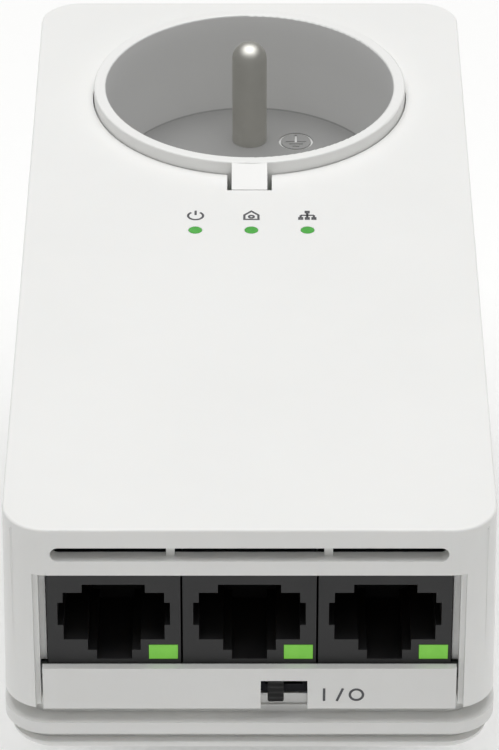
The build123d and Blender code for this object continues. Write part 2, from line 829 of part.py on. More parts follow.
plug_body.part.label = "plug_body"
export_step(plug_body.part, "parts/plug_body.step")

with BuildPart() as plug_screws:
    cross_screws(
        plug_ear_places, ear_foot_z + plug_ear_thickness, -1,
        small_screw_radius, small_head_radius, small_head_height,
        plug_ear_thickness + plug_ear_lift + floor / 2 - slip_gap,
    )
plug_screws.part.label = "plug_screws"
export_step(plug_screws.part, "parts/plug_screws.step")

contact_foot_z = plug_face_thickness + pin_flange_height
for side_name, side in (("left", -1), ("right", 1)):
    pin_place = [(side * pin_x, 0)]
    with BuildPart() as plug_pin:
        posts(pin_radius, pin_place, -pin_reach, pin_recess_depth)
        fillet(plug_pin.faces().sort_by(Axis.Z)[0].edges(), pin_radius - fit_gap)
        posts(pin_root_radius, pin_place, pin_recess_depth, plug_face_thickness)
        posts(pin_flange_radius, pin_place, plug_face_thickness, contact_foot_z)
        posts(rivet_radius, pin_place, contact_foot_z, contact_foot_z + rivet_height)
    plug_pin.part.label = f"plug_pin_{side_name}"
    export_step(plug_pin.part, f"parts/plug_pin_{side_name}.step")

    # One brass strip: a foot on the pin, a riser, a clip around the outlet's
    # line hole and a tail to the circuit board
    near_x = side * (pin_x - clip_inner)
    far_x = side * (pin_x + clip_inner)
    inner_leaf = sorted((near_x - side * strip, near_x))
    outer_leaf = sorted((far_x, far_x + side * strip))
    foot_x = sorted((near_x, far_x + side * strip))
    web_x = sorted((near_x - side * strip, far_x + side * strip))
    leaf_y = (-contact_width / 2, contact_width / 2)
    web_y = (contact_width / 2, contact_width / 2 + strip)
    clip_z = (clip_top_z - clip_height, clip_top_z)
    tail_foot_z = floor_z + plug_flange_thickness + 2 * slip_gap
    tail_top_z = block_foot_z - 2 * slip_gap
    with BuildPart() as line_contact:
        block(foot_x, leaf_y, (contact_foot_z, contact_foot_z + strip))
        block(outer_leaf, leaf_y, (contact_foot_z, clip_top_z))
        block(inner_leaf, leaf_y, clip_z)
        block(web_x, web_y, clip_z)
        block(outer_leaf, (board_back_y - contact_tail_end, 0), (tail_foot_z, tail_top_z))
        block(
            outer_leaf, (board_back_y - contact_tail_end, board_back_y + contact_tail_end),
            (tail_foot_z, board_foot_z),
        )
        posts(
            rivet_radius + fit_gap / 2, pin_place, contact_foot_z - cut_margin, contact_foot_z + 2 * strip,
            mode=Mode.SUBTRACT,
        )
    line_contact.part.label = f"line_contact_{side_name}"
    export_step(line_contact.part, f"parts/line_contact_{side_name}.step")

earth_bar_z = plug_face_thickness
with BuildPart() as plug_earth_clips:
    clip_reach = plug_radius - fit_gap
    block(
        (-earth_bar_width / 2, earth_bar_width / 2), (-clip_reach, clip_reach),
        (earth_bar_z, earth_bar_z + strip),
    )
    posts(earth_hole_radius + earth_bar_rim, earth_place, earth_bar_z, earth_bar_z + strip)
    for side in (-1, 1):
        block(
            (-earth_bar_width / 2, earth_bar_width / 2),
            sorted((side * (clip_reach - strip), side * clip_reach)),
            (earth_bar_z, earth_bar_z + earth_clip_height - slip_gap),
        )
    posts(earth_hole_radius + fit_gap, earth_place, 0, earth_bar_z + 2 * strip, mode=Mode.SUBTRACT)
plug_earth_clips.part.label = "plug_earth_clips"
export_step(plug_earth_clips.part, "parts/plug_earth_clips.step")

sleeve_radius = earth_sleeve_radius + earth_sleeve_wall
sleeve_top_z = earth_bar_z + strip + earth_sleeve_height
with BuildPart() as plug_earth_sleeve:
    posts(sleeve_radius, earth_place, earth_bar_z + strip, sleeve_top_z)
    posts(
        earth_sleeve_radius, earth_place, earth_bar_z, sleeve_top_z + cut_margin, mode=Mode.SUBTRACT,
    )
    block(
        (-earth_sleeve_slit / 2, earth_sleeve_slit / 2),
        (earth_offset, earth_offset + sleeve_radius + cut_margin),
        (earth_bar_z + earth_sleeve_foot, sleeve_top_z + cut_margin), mode=Mode.SUBTRACT,
    )
plug_earth_sleeve.part.label = "plug_earth_sleeve"
export_step(plug_earth_sleeve.part, "parts/plug_earth_sleeve.step")

strap_web_y = plug_inner_radius - earth_strap_gap
with BuildPart() as earth_strap:
    strap_half = earth_strap_width / 2
    strap_near_y = earth_offset - sleeve_radius
    for foot_z in (sleeve_top_z, earth_shoulder_z - strip):
        block(
            (-strap_half, strap_half), (strap_near_y, strap_web_y), (foot_z, foot_z + strip),
        )
    block(
        (-strap_half, strap_half), (strap_web_y - strip, strap_web_y),
        (sleeve_top_z, earth_shoulder_z),
    )
    posts(
        earth_hole_radius + fit_gap, earth_place,
        sleeve_top_z - cut_margin, sleeve_top_z + strip + cut_margin,
        mode=Mode.SUBTRACT,
    )
    posts(
        rivet_radius + fit_gap / 2, earth_place,
        earth_shoulder_z - strip - cut_margin, earth_shoulder_z + cut_margin,
        mode=Mode.SUBTRACT,
    )
earth_strap.part.label = "earth_strap"
export_step(earth_strap.part, "parts/earth_strap.step")

# ----------------------------------------------------------------------------
# Circuit board and network ports
# ----------------------------------------------------------------------------

with BuildPart() as main_board:
    block((-board_half, board_half), (board_front_y, board_back_y), (board_foot_z, board_z))
    # On a wider housing the front corners stop short of the cover's end wall.
    for side in (-1, 1):
        block(
            sorted((side * (inner_opening_half - fit_gap), side * (board_half + cut_margin))),
            (board_front_y - cut_margin, port_y + wall + slip_gap),
            (board_foot_z - cut_margin, board_z + cut_margin), mode=Mode.SUBTRACT,
        )
    # Clear of the cover's posts and of the board screws
    posts(
        post_radius + board_hole_gap, housing_screw_places, board_foot_z - cut_margin, board_z + cut_margin,
        mode=Mode.SUBTRACT,
    )
    posts(
        small_screw_radius + slip_gap, board_screw_places, board_foot_z - cut_margin, board_z + cut_margin,
        mode=Mode.SUBTRACT,
    )
main_board.part.label = "main_board"
export_step(main_board.part, "parts/main_board.step")

with BuildPart() as board_screws:
    cross_screws(
        board_screw_places, board_z, -1,
        small_screw_radius, small_head_radius, small_head_height, board_thickness + board_screw_reach,
    )
board_screws.part.label = "board_screws"
export_step(board_screws.part, "parts/board_screws.step")

port_front_y = port_y + port_setback
cavity_roof = port_steps[-1][2]
for port_name, port_x in zip(port_names, port_xs):
    light_x = (
        port_x + port_light_offset - port_light_width / 2,
        port_x + port_light_offset + port_light_width / 2,
    )
    light_z = (board_z + port_light_foot, board_z + port_light_foot + port_light_height)
    with BuildPart() as port_housing:
        block(
            (port_x - port_width / 2, port_x + port_width / 2),
            (port_front_y, port_front_y + port_depth), (board_z, board_z + port_height),
        )
        # Stepped cavity for a plug, with its latch at the foot
        for step_width, step_foot, step_head in port_steps:
            block(
                (port_x - step_width / 2, port_x + step_width / 2),
                (port_front_y - cut_margin, port_front_y + port_cavity_depth),
                (board_z + step_foot, board_z + step_head), mode=Mode.SUBTRACT,
            )
        # Pocket for the light
        block(
            (light_x[0] - fit_gap, light_x[1] + fit_gap),
            (port_front_y - cut_margin, port_front_y + port_light_depth + fit_gap),
            (light_z[0] - fit_gap, light_z[1] + fit_gap), mode=Mode.SUBTRACT,
        )
    port_housing.part.label = f"port_housing_{port_name}"
    export_step(port_housing.part, f"parts/port_housing_{port_name}.step")

    with BuildPart() as port_light:
        block(light_x, (port_front_y, port_front_y + port_light_depth), light_z)
    port_light.part.label = f"port_light_{port_name}"
    export_step(port_light.part, f"parts/port_light_{port_name}.step")

    # Sprung wires under the cavity's roof, from its back wall towards its mouth
    wire_back_y = port_front_y + port_cavity_depth
    wire_front_y = port_front_y + port_wire_setback
    wire_tail_y = wire_back_y - port_wire_tail_gap
    wire_roof_z = board_z + cavity_roof - fit_gap
    with BuildPart() as port_wires:
        for wire in range(port_wire_count):
            wire_x = port_x + (wire - (port_wire_count - 1) / 2) * port_wire_pitch
            with BuildSketch(Plane.YZ.offset(wire_x)):
                with BuildLine():
                    Polyline(
                        (wire_front_y, wire_roof_z),
                        (wire_back_y, wire_roof_z),
                        (wire_back_y, wire_roof_z - port_wire),
                        (wire_front_y + port_wire_bend, wire_roof_z - port_wire),
                        (wire_tail_y, wire_roof_z - port_wire_drop),
                        (wire_tail_y - port_wire_tail_cut, wire_roof_z - port_wire_drop - port_wire),
                        (wire_front_y, wire_roof_z - port_wire),
                        close=True,
                    )
                make_face()
            extrude(amount=port_wire / 2, both=True)
    port_wires.part.label = f"port_wires_{port_name}"
    export_step(port_wires.part, f"parts/port_wires_{port_name}.step")

# ----------------------------------------------------------------------------
# Slide switch
# ----------------------------------------------------------------------------

switch_front_y = port_y + switch_setback
switch_back_y = switch_front_y + switch_body_depth
switch_foot_z = board_foot_z - switch_body_height
switch_middle_z = board_foot_z - switch_body_height / 2
switch_span = (switch_place - switch_body_width / 2, switch_place + switch_body_width / 2)
knob_x = switch_place - switch_travel / 2
knob_neck_half = switch_slot_height / 2 - slip_gap
with BuildPart() as switch_base:
    # Moulded body inside the frame, with the chamber in which the knob's foot slides
    block(
        (switch_span[0] + switch_frame_sheet, switch_span[1] - switch_frame_sheet),
        (switch_front_y + switch_frame_sheet, switch_back_y),
        (switch_foot_z + switch_frame_sheet, board_foot_z - switch_frame_sheet),
    )
    slide_half = (switch_travel + knob_width) / 2 + 2 * slip_gap
    block(
        (switch_place - slide_half, switch_place + slide_half),
        (switch_front_y, switch_front_y + switch_frame_sheet + switch_chamber_depth),
        (switch_middle_z - switch_chamber_height / 2, switch_middle_z + switch_chamber_height / 2),
        mode=Mode.SUBTRACT,
    )
switch_base.part.label = "switch_base"
export_step(switch_base.part, "parts/switch_base.step")

with BuildPart() as switch_frame:
    # Folded steel shell, open at the back, slotted at the front
    block(switch_span, (switch_front_y, switch_back_y), (switch_foot_z, board_foot_z))
    block(
        (switch_span[0] + switch_frame_sheet, switch_span[1] - switch_frame_sheet),
        (switch_front_y + switch_frame_sheet, switch_back_y + cut_margin),
        (switch_foot_z + switch_frame_sheet, board_foot_z - switch_frame_sheet),
        mode=Mode.SUBTRACT,
    )
    block(
        (switch_place - slide_half, switch_place + slide_half),
        (switch_front_y - cut_margin, switch_front_y + cut_margin),
        (switch_middle_z - switch_slot_height / 2, switch_middle_z + switch_slot_height / 2),
        mode=Mode.SUBTRACT,
    )
switch_frame.part.label = "switch_frame"
export_step(switch_frame.part, "parts/switch_frame.step")

with BuildPart() as switch_knob:
    # Finger knob in front, neck through the frame's slot, foot in the chamber
    knob_front_y = switch_front_y - slip_gap - knob_depth
    knob_heel_y = switch_front_y + switch_frame_sheet + slip_gap
    block(
        (knob_x - knob_width / 2, knob_x + knob_width / 2),
        (knob_front_y, switch_front_y - slip_gap),
        (switch_middle_z - knob_drop, board_foot_z - 2 * slip_gap),
    )
    fillet(switch_knob.faces().sort_by(Axis.Y)[0].edges(), knob_edge_round)
    block(
        (knob_x - knob_width / 2 + slip_gap, knob_x + knob_width / 2 - slip_gap),
        (switch_front_y - slip_gap, knob_heel_y),
        (switch_middle_z - knob_neck_half, switch_middle_z + knob_neck_half),
    )
    block(
        (knob_x - knob_width / 2, knob_x + knob_width / 2),
        (knob_heel_y, knob_heel_y + knob_foot_depth + slip_gap),
        (switch_middle_z - knob_foot_height / 2, switch_middle_z + knob_foot_height / 2),
    )
switch_knob.part.label = "switch_knob"
export_step(switch_knob.part, "parts/switch_knob.step")

# ----------------------------------------------------------------------------
# Indicators
# ----------------------------------------------------------------------------

with BuildPart() as indicator_leds:
    for x in indicator_xs:
        block(
            (x - led_size[0] / 2, x + led_size[0] / 2),
            (indicator_y - led_size[1] / 2, indicator_y + led_size[1] / 2),
            (board_z, board_z + led_size[2]),
        )
indicator_leds.part.label = "indicator_leds"
export_step(indicator_leds.part, "parts/indicator_leds.step")

with BuildPart() as light_guide:
    posts(
        indicator_radius, [(x, indicator_y) for x in indicator_xs],
        board_z + led_size[2] + guide_end_gap, top_z,
    )
    block(
        (indicator_xs[0], indicator_xs[-1]),
        (indicator_y - indicator_radius, indicator_y + indicator_radius),
        (top_z - guide_bar_drop - guide_bar_thickness, top_z - guide_bar_drop),
    )
light_guide.part.label = "light_guide"
export_step(light_guide.part, "parts/light_guide.step")

# ----------------------------------------------------------------------------
# Components on the board
# ----------------------------------------------------------------------------

def on_board(place):
    """The board place as a point in the frame."""
    return place[0], board_back_y - place[1]


def chip(place, size, lift=0.0):
    """A block that stands on the board, or lifted over it."""
    x, y = on_board(place)
    width, depth, height = size
    foot = board_z + lift
    block((x - width / 2, x + width / 2), (y - depth / 2, y + depth / 2), (foot, foot + height))


with BuildPart() as processor:
    chip(processor_place, processor_size)
    chamfer(processor.faces().sort_by(Axis.Z)[-1].edges(), chip_edge)
processor.part.label = "processor"
export_step(processor.part, "parts/processor.step")

with BuildPart() as thermal_pad:
    chip(processor_place, thermal_pad_size, lift=processor_size[2])
thermal_pad.part.label = "thermal_pad"
export_step(thermal_pad.part, "parts/thermal_pad.step")

with BuildPart() as heat_sink:
    sink_foot = processor_size[2] + thermal_pad_size[2]
    chip(processor_place, heat_sink_size, lift=sink_foot)
    sink_x, sink_y = on_board(processor_place)
    sink_z = board_z + sink_foot
    fin_pitch = (heat_sink_size[0] - heat_sink_fin) / (heat_sink_fins - 1)
    for gap in range(heat_sink_fins - 1):
        gap_x = sink_x - heat_sink_size[0] / 2 + heat_sink_fin + gap * fin_pitch
        block(
            (gap_x, gap_x + fin_pitch - heat_sink_fin),
            (sink_y - heat_sink_size[1], sink_y + heat_sink_size[1]),
            (sink_z + heat_sink_base, sink_z + heat_sink_size[2] + cut_margin),
            mode=Mode.SUBTRACT,
        )
heat_sink.part.label = "heat_sink"
export_step(heat_sink.part, "parts/heat_sink.step")

with BuildPart() as network_chip:
    chip(network_chip_place, network_chip_size)
    chamfer(network_chip.faces().sort_by(Axis.Z)[-1].edges(), chip_edge)
network_chip.part.label = "network_chip"
export_step(network_chip.part, "parts/network_chip.step")

with BuildPart() as memory_chip:
    chip(memory_chip_place, memory_chip_size)
    chamfer(memory_chip.faces().sort_by(Axis.Z)[-1].edges(), chip_edge)
memory_chip.part.label = "memory_chip"
export_step(memory_chip.part, "parts/memory_chip.step")

with BuildPart() as crystal:
    chip(crystal_place, crystal_size)
    chamfer(crystal.faces().sort_by(Axis.Z)[-1].edges(), crystal_edge)
crystal.part.label = "crystal"
export_step(crystal.part, "parts/crystal.step")

transformer_x, transformer_y = on_board(transformer_place)
core_width, core_depth, core_height = transformer_core_size
window_width, window_height = transformer_window
window_foot_z = board_z + (core_height - window_height) / 2
window_side = (window_width - transformer_leg) / 2
with BuildPart() as transformer_core:
    chip(transformer_place, transformer_core_size)
    for side in (-1, 1):
        window_x = sorted((
            transformer_x + side * transformer_leg / 2, transformer_x + side * window_width / 2,
        ))
        block(
            window_x, (transformer_y - core_depth, transformer_y + core_depth),
            (window_foot_z, window_foot_z + window_height), mode=Mode.SUBTRACT,
        )
transformer_core.part.label = "transformer_core"
export_step(transformer_core.part, "parts/transformer_core.step")

with BuildPart() as transformer_winding:
    # Wound round the core's middle leg and bulging at the core's two open sides
    bulge = core_depth / 2 + window_side - fit_gap
    block(
        (transformer_x - window_width / 2 + fit_gap, transformer_x + window_width / 2 - fit_gap),
        (transformer_y - bulge, transformer_y + bulge),
        (window_foot_z + fit_gap, window_foot_z + window_height - fit_gap),
    )
    upright = transformer_winding.edges().filter_by(Axis.Z)
    fillet(upright, window_side - winding_wall)
    block(
        (transformer_x - transformer_leg / 2 - fit_gap, transformer_x + transformer_leg / 2 + fit_gap),
        (transformer_y - core_depth / 2 - fit_gap, transformer_y + core_depth / 2 + fit_gap),
        (window_foot_z, window_foot_z + window_height), mode=Mode.SUBTRACT,
    )
transformer_winding.part.label = "transformer_winding"
export_step(transformer_winding.part, "parts/transformer_winding.step")

choke_centre = [on_board(choke_place)]
with BuildPart() as choke_core:
    posts(choke_radius, choke_centre, board_z + choke_winding, board_z + choke_winding + choke_height)
    posts(choke_bore, choke_centre, board_z, board_z + 2 * choke_height, mode=Mode.SUBTRACT)
choke_core.part.label = "choke_core"
export_step(choke_core.part, "parts/choke_core.step")

with BuildPart() as choke_windings:
    # Two windings, each a bent slab that wraps one side of the ring
    posts(
        choke_radius + choke_winding, choke_centre,
        board_z, board_z + choke_height + 2 * choke_winding,
    )
    posts(
        choke_bore - choke_winding, choke_centre, board_z - cut_margin, board_z + 2 * choke_height,
        mode=Mode.SUBTRACT,
    )
    with BuildSketch(Plane.XY.offset(board_z + choke_winding)):
        with Locations(choke_centre[0]):
            Circle(choke_radius + fit_gap)
            Circle(choke_bore - fit_gap, mode=Mode.SUBTRACT)
    extrude(amount=choke_height, mode=Mode.SUBTRACT)
    choke_x, choke_y = choke_centre[0]
    block(
        (choke_x - choke_bore, choke_x + choke_bore),
        (choke_y - 2 * choke_radius, choke_y + 2 * choke_radius),
        (board_z - cut_margin, board_z + 2 * choke_height), mode=Mode.SUBTRACT,
    )
choke_windings.part.label = "choke_windings"
export_step(choke_windings.part, "parts/choke_windings.step")

groove_z = board_z + can_groove_foot + can_groove_half
with BuildPart() as storage_capacitors:
    for place in can_places:
        can_x, can_y = on_board(place)
        with BuildSketch(Plane.XZ.offset(-can_y)):
            with BuildLine():
                Polyline(
                    (can_x, board_z), (can_x + can_radius, board_z),
                    (can_x + can_radius, groove_z - can_groove_half),
                    (can_x + can_radius - can_groove, groove_z),
                    (can_x + can_radius, groove_z + can_groove_half),
                    (can_x + can_radius, board_z + can_height - can_top_edge),
                    (can_x + can_radius - can_top_edge, board_z + can_height),
                    (can_x, board_z + can_height),
                    close=True,
                )
            make_face()
        revolve(axis=Axis((can_x, can_y, 0), (0, 0, 1)))
storage_capacitors.part.label = "storage_capacitors"
export_step(storage_capacitors.part, "parts/storage_capacitors.step")

with BuildPart() as film_capacitor:
    chip(film_capacitor_place, film_capacitor_size)
    chamfer(film_capacitor.faces().sort_by(Axis.Z)[-1].edges(), film_capacitor_round)
film_capacitor.part.label = "film_capacitor"
export_step(film_capacitor.part, "parts/film_capacitor.step")

fuse_x, fuse_y = on_board(fuse_place)
with BuildPart() as fuse_glass:
    with BuildSketch(Plane.YZ.offset(fuse_x - fuse_length / 2 + fuse_cap_length)):
        with Locations((fuse_y, board_z + fuse_radius)):
            Circle(fuse_radius - fuse_glass_inset)
    extrude(amount=fuse_length - 2 * fuse_cap_length)
fuse_glass.part.label = "fuse_glass"
export_step(fuse_glass.part, "parts/fuse_glass.step")

with BuildPart() as fuse_caps:
    for start in (fuse_x - fuse_length / 2, fuse_x + fuse_length / 2 - fuse_cap_length):
        with BuildSketch(Plane.YZ.offset(start)):
            with Locations((fuse_y, board_z + fuse_radius)):
                Circle(fuse_radius)
        extrude(amount=fuse_cap_length)
fuse_caps.part.label = "fuse_caps"
export_step(fuse_caps.part, "parts/fuse_caps.step")

varistor_x, varistor_y = on_board(varistor_place)
with BuildPart() as varistor:
    with BuildSketch(Plane.XZ.offset(-varistor_y)):
        with Locations((varistor_x, board_z + varistor_radius)):
            Circle(varistor_radius)
    extrude(amount=varistor_thickness / 2, both=True)
    fillet(varistor.edges().filter_by(GeomType.CIRCLE), (varistor_thickness - varistor_rim_flat) / 2)
varistor.part.label = "varistor"
export_step(varistor.part, "parts/varistor.step")

with BuildPart() as rectifier:
    chip(rectifier_place, rectifier_size)
    chamfer(rectifier.faces().sort_by(Axis.Z)[-1].edges(), case_edge)
rectifier.part.label = "rectifier"
export_step(rectifier.part, "parts/rectifier.step")

with BuildPart() as coupling_transformer:
    chip(coupling_place, coupling_size)
    chamfer(coupling_transformer.faces().sort_by(Axis.Z)[-1].edges(), case_edge)
coupling_transformer.part.label = "coupling_transformer"
export_step(coupling_transformer.part, "parts/coupling_transformer.step")
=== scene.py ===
"""Looks of a plug-through powerline adapter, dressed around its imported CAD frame.

Everything is in metres in the CAD frame: +Z points out of the wall towards the top face, -Y is the
end with the network ports, and +X is to the right when the ports are nearest.
"""

import json
import logging
import math
from dataclasses import dataclass, field
from enum import Enum
from typing import ClassVar, Mapping, Optional, Sequence

import bpy
import numpy as np
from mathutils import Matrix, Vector


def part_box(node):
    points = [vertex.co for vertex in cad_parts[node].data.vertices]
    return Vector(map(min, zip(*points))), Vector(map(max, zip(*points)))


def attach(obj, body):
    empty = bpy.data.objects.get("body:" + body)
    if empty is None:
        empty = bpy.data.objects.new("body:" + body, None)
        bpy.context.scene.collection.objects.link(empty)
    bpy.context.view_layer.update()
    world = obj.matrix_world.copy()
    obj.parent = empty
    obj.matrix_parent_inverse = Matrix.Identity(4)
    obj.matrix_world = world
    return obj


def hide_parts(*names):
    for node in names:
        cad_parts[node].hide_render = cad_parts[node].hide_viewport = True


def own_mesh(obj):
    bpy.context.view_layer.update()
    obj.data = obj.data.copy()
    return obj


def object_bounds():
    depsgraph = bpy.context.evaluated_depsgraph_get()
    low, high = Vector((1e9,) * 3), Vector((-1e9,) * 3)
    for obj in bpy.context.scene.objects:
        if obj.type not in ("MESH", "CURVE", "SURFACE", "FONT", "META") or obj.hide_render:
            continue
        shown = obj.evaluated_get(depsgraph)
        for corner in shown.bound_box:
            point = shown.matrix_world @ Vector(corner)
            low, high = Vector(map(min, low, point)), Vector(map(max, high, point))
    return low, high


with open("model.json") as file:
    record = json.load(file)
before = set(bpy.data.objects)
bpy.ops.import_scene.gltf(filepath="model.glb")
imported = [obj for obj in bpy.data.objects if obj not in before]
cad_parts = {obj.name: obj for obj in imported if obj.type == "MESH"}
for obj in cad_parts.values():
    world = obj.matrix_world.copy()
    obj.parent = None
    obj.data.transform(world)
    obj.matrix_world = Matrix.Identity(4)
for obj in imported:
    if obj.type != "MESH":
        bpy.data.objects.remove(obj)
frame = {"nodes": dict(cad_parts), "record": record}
cad_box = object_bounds()

MM = 0.001
HOUSING_BODY = "housing"
KNOB_BODY = "knob"
JACKS = ("left", "middle", "right")
X_AXIS, Y_AXIS, Z_AXIS = (1, 0, 0), (0, 1, 0), (0, 0, 1)
log = logging.getLogger("adapter")

Tree = bpy.types.NodeTree
Socket = bpy.types.NodeSocket
Point = tuple[float, float, float]
Solid = tuple[np.ndarray, list]


# Materials

# Most values of a noise pattern lie in NOISE_SPAN, and over SHADE_SPAN a colour turns to its shade.
NOISE_SPAN = (0.3, 0.7)
SHADE_SPAN = (0.35, 0.7)
# A scratch is this much narrower than it is long.
SCRATCH_SHARE = 0.04
EDGE_SAMPLES = 6
COAT_ROUGHNESS = 0.08
# Light that enters a plastic comes out about this far away, red a little farther than blue.
SOAK_DEPTH_MM = 0.6
SOAK_REACH = (1.0, 0.9, 0.8)


def linear(colour: str) -> tuple[float, float, float, float]:
    """Turns an sRGB hex colour into linear light, by the standard curve with its straight toe.

    Args:
        colour: the colour as "#rrggbb".

    Returns:
        Red, green, blue and an alpha of 1.
    """
    shares = [int(colour[at:at + 2], 16) / 255 for at in (1, 3, 5)]
    light = [s / 12.92 if s <= 0.04045 else ((s + 0.055) / 1.055) ** 2.4 for s in shares]
    return light[0], light[1], light[2], 1.0


def add(
    tree: Tree,
    kind: str,
    inputs: Optional[Mapping] = None,
    links: Optional[Mapping] = None,
    **settings: object,
) -> bpy.types.Node:
    """Adds one shader node with its settings and links.

    Args:
        tree: the material's or the world's node tree.
        kind: the node's type, such as "ShaderNodeTexNoise".
        inputs: values for its input sockets, by name or place.
        links: sockets of other nodes that feed its inputs, by name or place.
        settings: the node's own properties.

    Returns:
        The new node.
    """
    made = tree.nodes.new(kind)
    for name, value in settings.items():
        setattr(made, name, value)
    for socket, value in (inputs or {}).items():
        made.inputs[socket].default_value = value
    for socket, source in (links or {}).items():
        tree.links.new(source, made.inputs[socket])
    return made


def set_stops(ramp: bpy.types.ColorRamp, stops: Sequence[tuple[float, str]]) -> None:
    """Gives a colour ramp its stops.

    Args:
        ramp: the ramp, which starts with two stops.
        stops: position and sRGB hex colour of each stop, in rising order.
    """
    while len(ramp.elements) < len(stops):
        ramp.elements.new(1.0)
    for element, (position, colour) in zip(ramp.elements, stops):
        element.position = position
        element.color = linear(colour)


class Relief(Enum):
    """How the fine relief of a surface came about."""

    ERODED = "even bumps from a spark-eroded mould"
    PEEL = "soft dimples of a dipped or poured coat"
    DRAWN = "long scratches along X, from drawing or rolling"
    UPRIGHT = "long scratches along Z, from drawing a rod"
    WOUND = "parallel wires laid side by side along Z"
    SINTERED = "sharp grains of a pressed and fired powder"

    def height(self, tree: Tree, place: Socket, size_mm: float) -> Socket:
        """Adds the pattern and returns its height.

        Args:
            tree: the material's node tree.
            place: socket of the place on the object, in metres.
            size_mm: the real size of one bump, scratch or wire.

        Returns:
            A socket from about 0 in the hollows to about 1 on the tops.
        """
        per_metre = 1 / (size_mm * MM)
        stretch = {
            Relief.DRAWN: (SCRATCH_SHARE, 1, 1), Relief.UPRIGHT: (1, 1, SCRATCH_SHARE),
        }.get(self)
        if stretch:
            place = add(
                tree, "ShaderNodeMapping", {"Scale": stretch}, {"Vector": place}
            ).outputs["Vector"]
        if self is Relief.WOUND:
            return add(
                tree, "ShaderNodeTexWave",
                {"Scale": per_metre / math.pi, "Distortion": 0.4, "Detail": 1.0},
                {"Vector": place}, bands_direction="Z",
            ).outputs["Fac"]
        if self in (Relief.PEEL, Relief.SINTERED):
            feature = "SMOOTH_F1" if self is Relief.PEEL else "F1"
            return add(
                tree, "ShaderNodeTexVoronoi", {"Scale": per_metre}, {"Vector": place},
                feature=feature,
            ).outputs["Distance"]
        return add(
            tree, "ShaderNodeTexNoise", {"Scale": per_metre, "Detail": 3.0, "Roughness": 0.6},
            {"Vector": place},
        ).outputs["Fac"]


@dataclass(frozen=True)
class Finish:
    """One real material with the surface that its making gave it.

    Attributes:
        name: what a maker would call it.
        colour: its main colour, sRGB hex.
        shade: the colour that it drifts to in patches.
        roughness: the middle of its roughness.
        spread: how far its roughness drifts each way.
        metallic: 1 for a bare metal.
        ior: index of refraction of what isn't a metal.
        relief: how its fine relief was made.
        relief_mm: size of the relief's bumps.
        depth_mm: depth of the relief.
        patch_mm: size of the patches of colour and of gloss.
        edge_mm: radius to which its edges are broken.
        coat: weight of a clear gloss layer.
        soak: share of the light that enters and spreads under the surface.
        glow: strength of its own light.
        clear: share of the light that passes through.
    """

    name: str
    colour: str
    shade: str
    roughness: float
    spread: float = 0.05
    metallic: float = 0.0
    ior: float = 1.5
    relief: Relief = Relief.ERODED
    relief_mm: float = 0.3
    depth_mm: float = 0.004
    patch_mm: float = 14.0
    edge_mm: float = 0.0
    coat: float = 0.0
    soak: float = 0.0
    glow: float = 0.0
    clear: float = 0.0

    def material(self) -> bpy.types.Material:
        """Makes the material, unless it is there already.

        Returns:
            The material, named as the finish is.
        """
        found = bpy.data.materials.get(self.name)
        if found:
            return found
        made = bpy.data.materials.new(self.name)
        made.use_nodes = True
        tree = made.node_tree
        tree.nodes.clear()
        place = add(tree, "ShaderNodeTexCoord").outputs["Object"]
        patches = add(
            tree, "ShaderNodeTexNoise", {"Scale": 1 / (self.patch_mm * MM), "Detail": 4.0},
            {"Vector": place},
        ).outputs["Fac"]
        gloss = add(
            tree, "ShaderNodeMapRange",
            {"From Min": NOISE_SPAN[0], "From Max": NOISE_SPAN[1],
             "To Min": self.roughness - self.spread, "To Max": self.roughness + self.spread},
            {"Value": patches},
        )
        bump = add(
            tree, "ShaderNodeBump", {"Strength": 1.0, "Distance": self.depth_mm * MM},
            {"Height": self.relief.height(tree, place, self.relief_mm)},
        )
        if self.edge_mm:
            edge = add(
                tree, "ShaderNodeBevel", {"Radius": self.edge_mm * MM}, samples=EDGE_SAMPLES
            )
            tree.links.new(edge.outputs["Normal"], bump.inputs["Normal"])
        shader = add(
            tree, "ShaderNodeBsdfPrincipled", self.sockets(),
            {"Base Color": self.tint(tree, place, patches),
             "Roughness": gloss.outputs["Result"], "Normal": bump.outputs["Normal"]},
        )
        add(tree, "ShaderNodeOutputMaterial", links={"Surface": shader.outputs["BSDF"]})
        return made

    def sockets(self) -> dict:
        """Works out the values that are the same all over.

        Returns:
            Values of the shader's sockets, by name.
        """
        values: dict = {"Metallic": self.metallic}
        if not self.metallic:
            values["IOR"] = self.ior
        if self.coat:
            values |= {"Coat Weight": self.coat, "Coat Roughness": COAT_ROUGHNESS}
        if self.soak:
            values |= {
                "Subsurface Weight": self.soak, "Subsurface Scale": SOAK_DEPTH_MM * MM,
                "Subsurface Radius": SOAK_REACH,
            }
        if self.glow:
            values |= {"Emission Color": linear(self.colour), "Emission Strength": self.glow}
        if self.clear:
            values["Transmission Weight"] = self.clear
        return values

    def tint(self, tree: Tree, place: Socket, patches: Socket) -> Socket:
        """Runs the colour from the main one to the shade over the patches.

        Args:
            tree: the material's node tree.
            place: socket of the place on the object, in metres.
            patches: socket of a pattern from 0 to 1.

        Returns:
            The colour socket.
        """
        ramp = add(tree, "ShaderNodeValToRGB", links={"Fac": patches})
        set_stops(ramp.color_ramp, tuple(zip(SHADE_SPAN, (self.colour, self.shade))))
        return ramp.outputs["Color"]


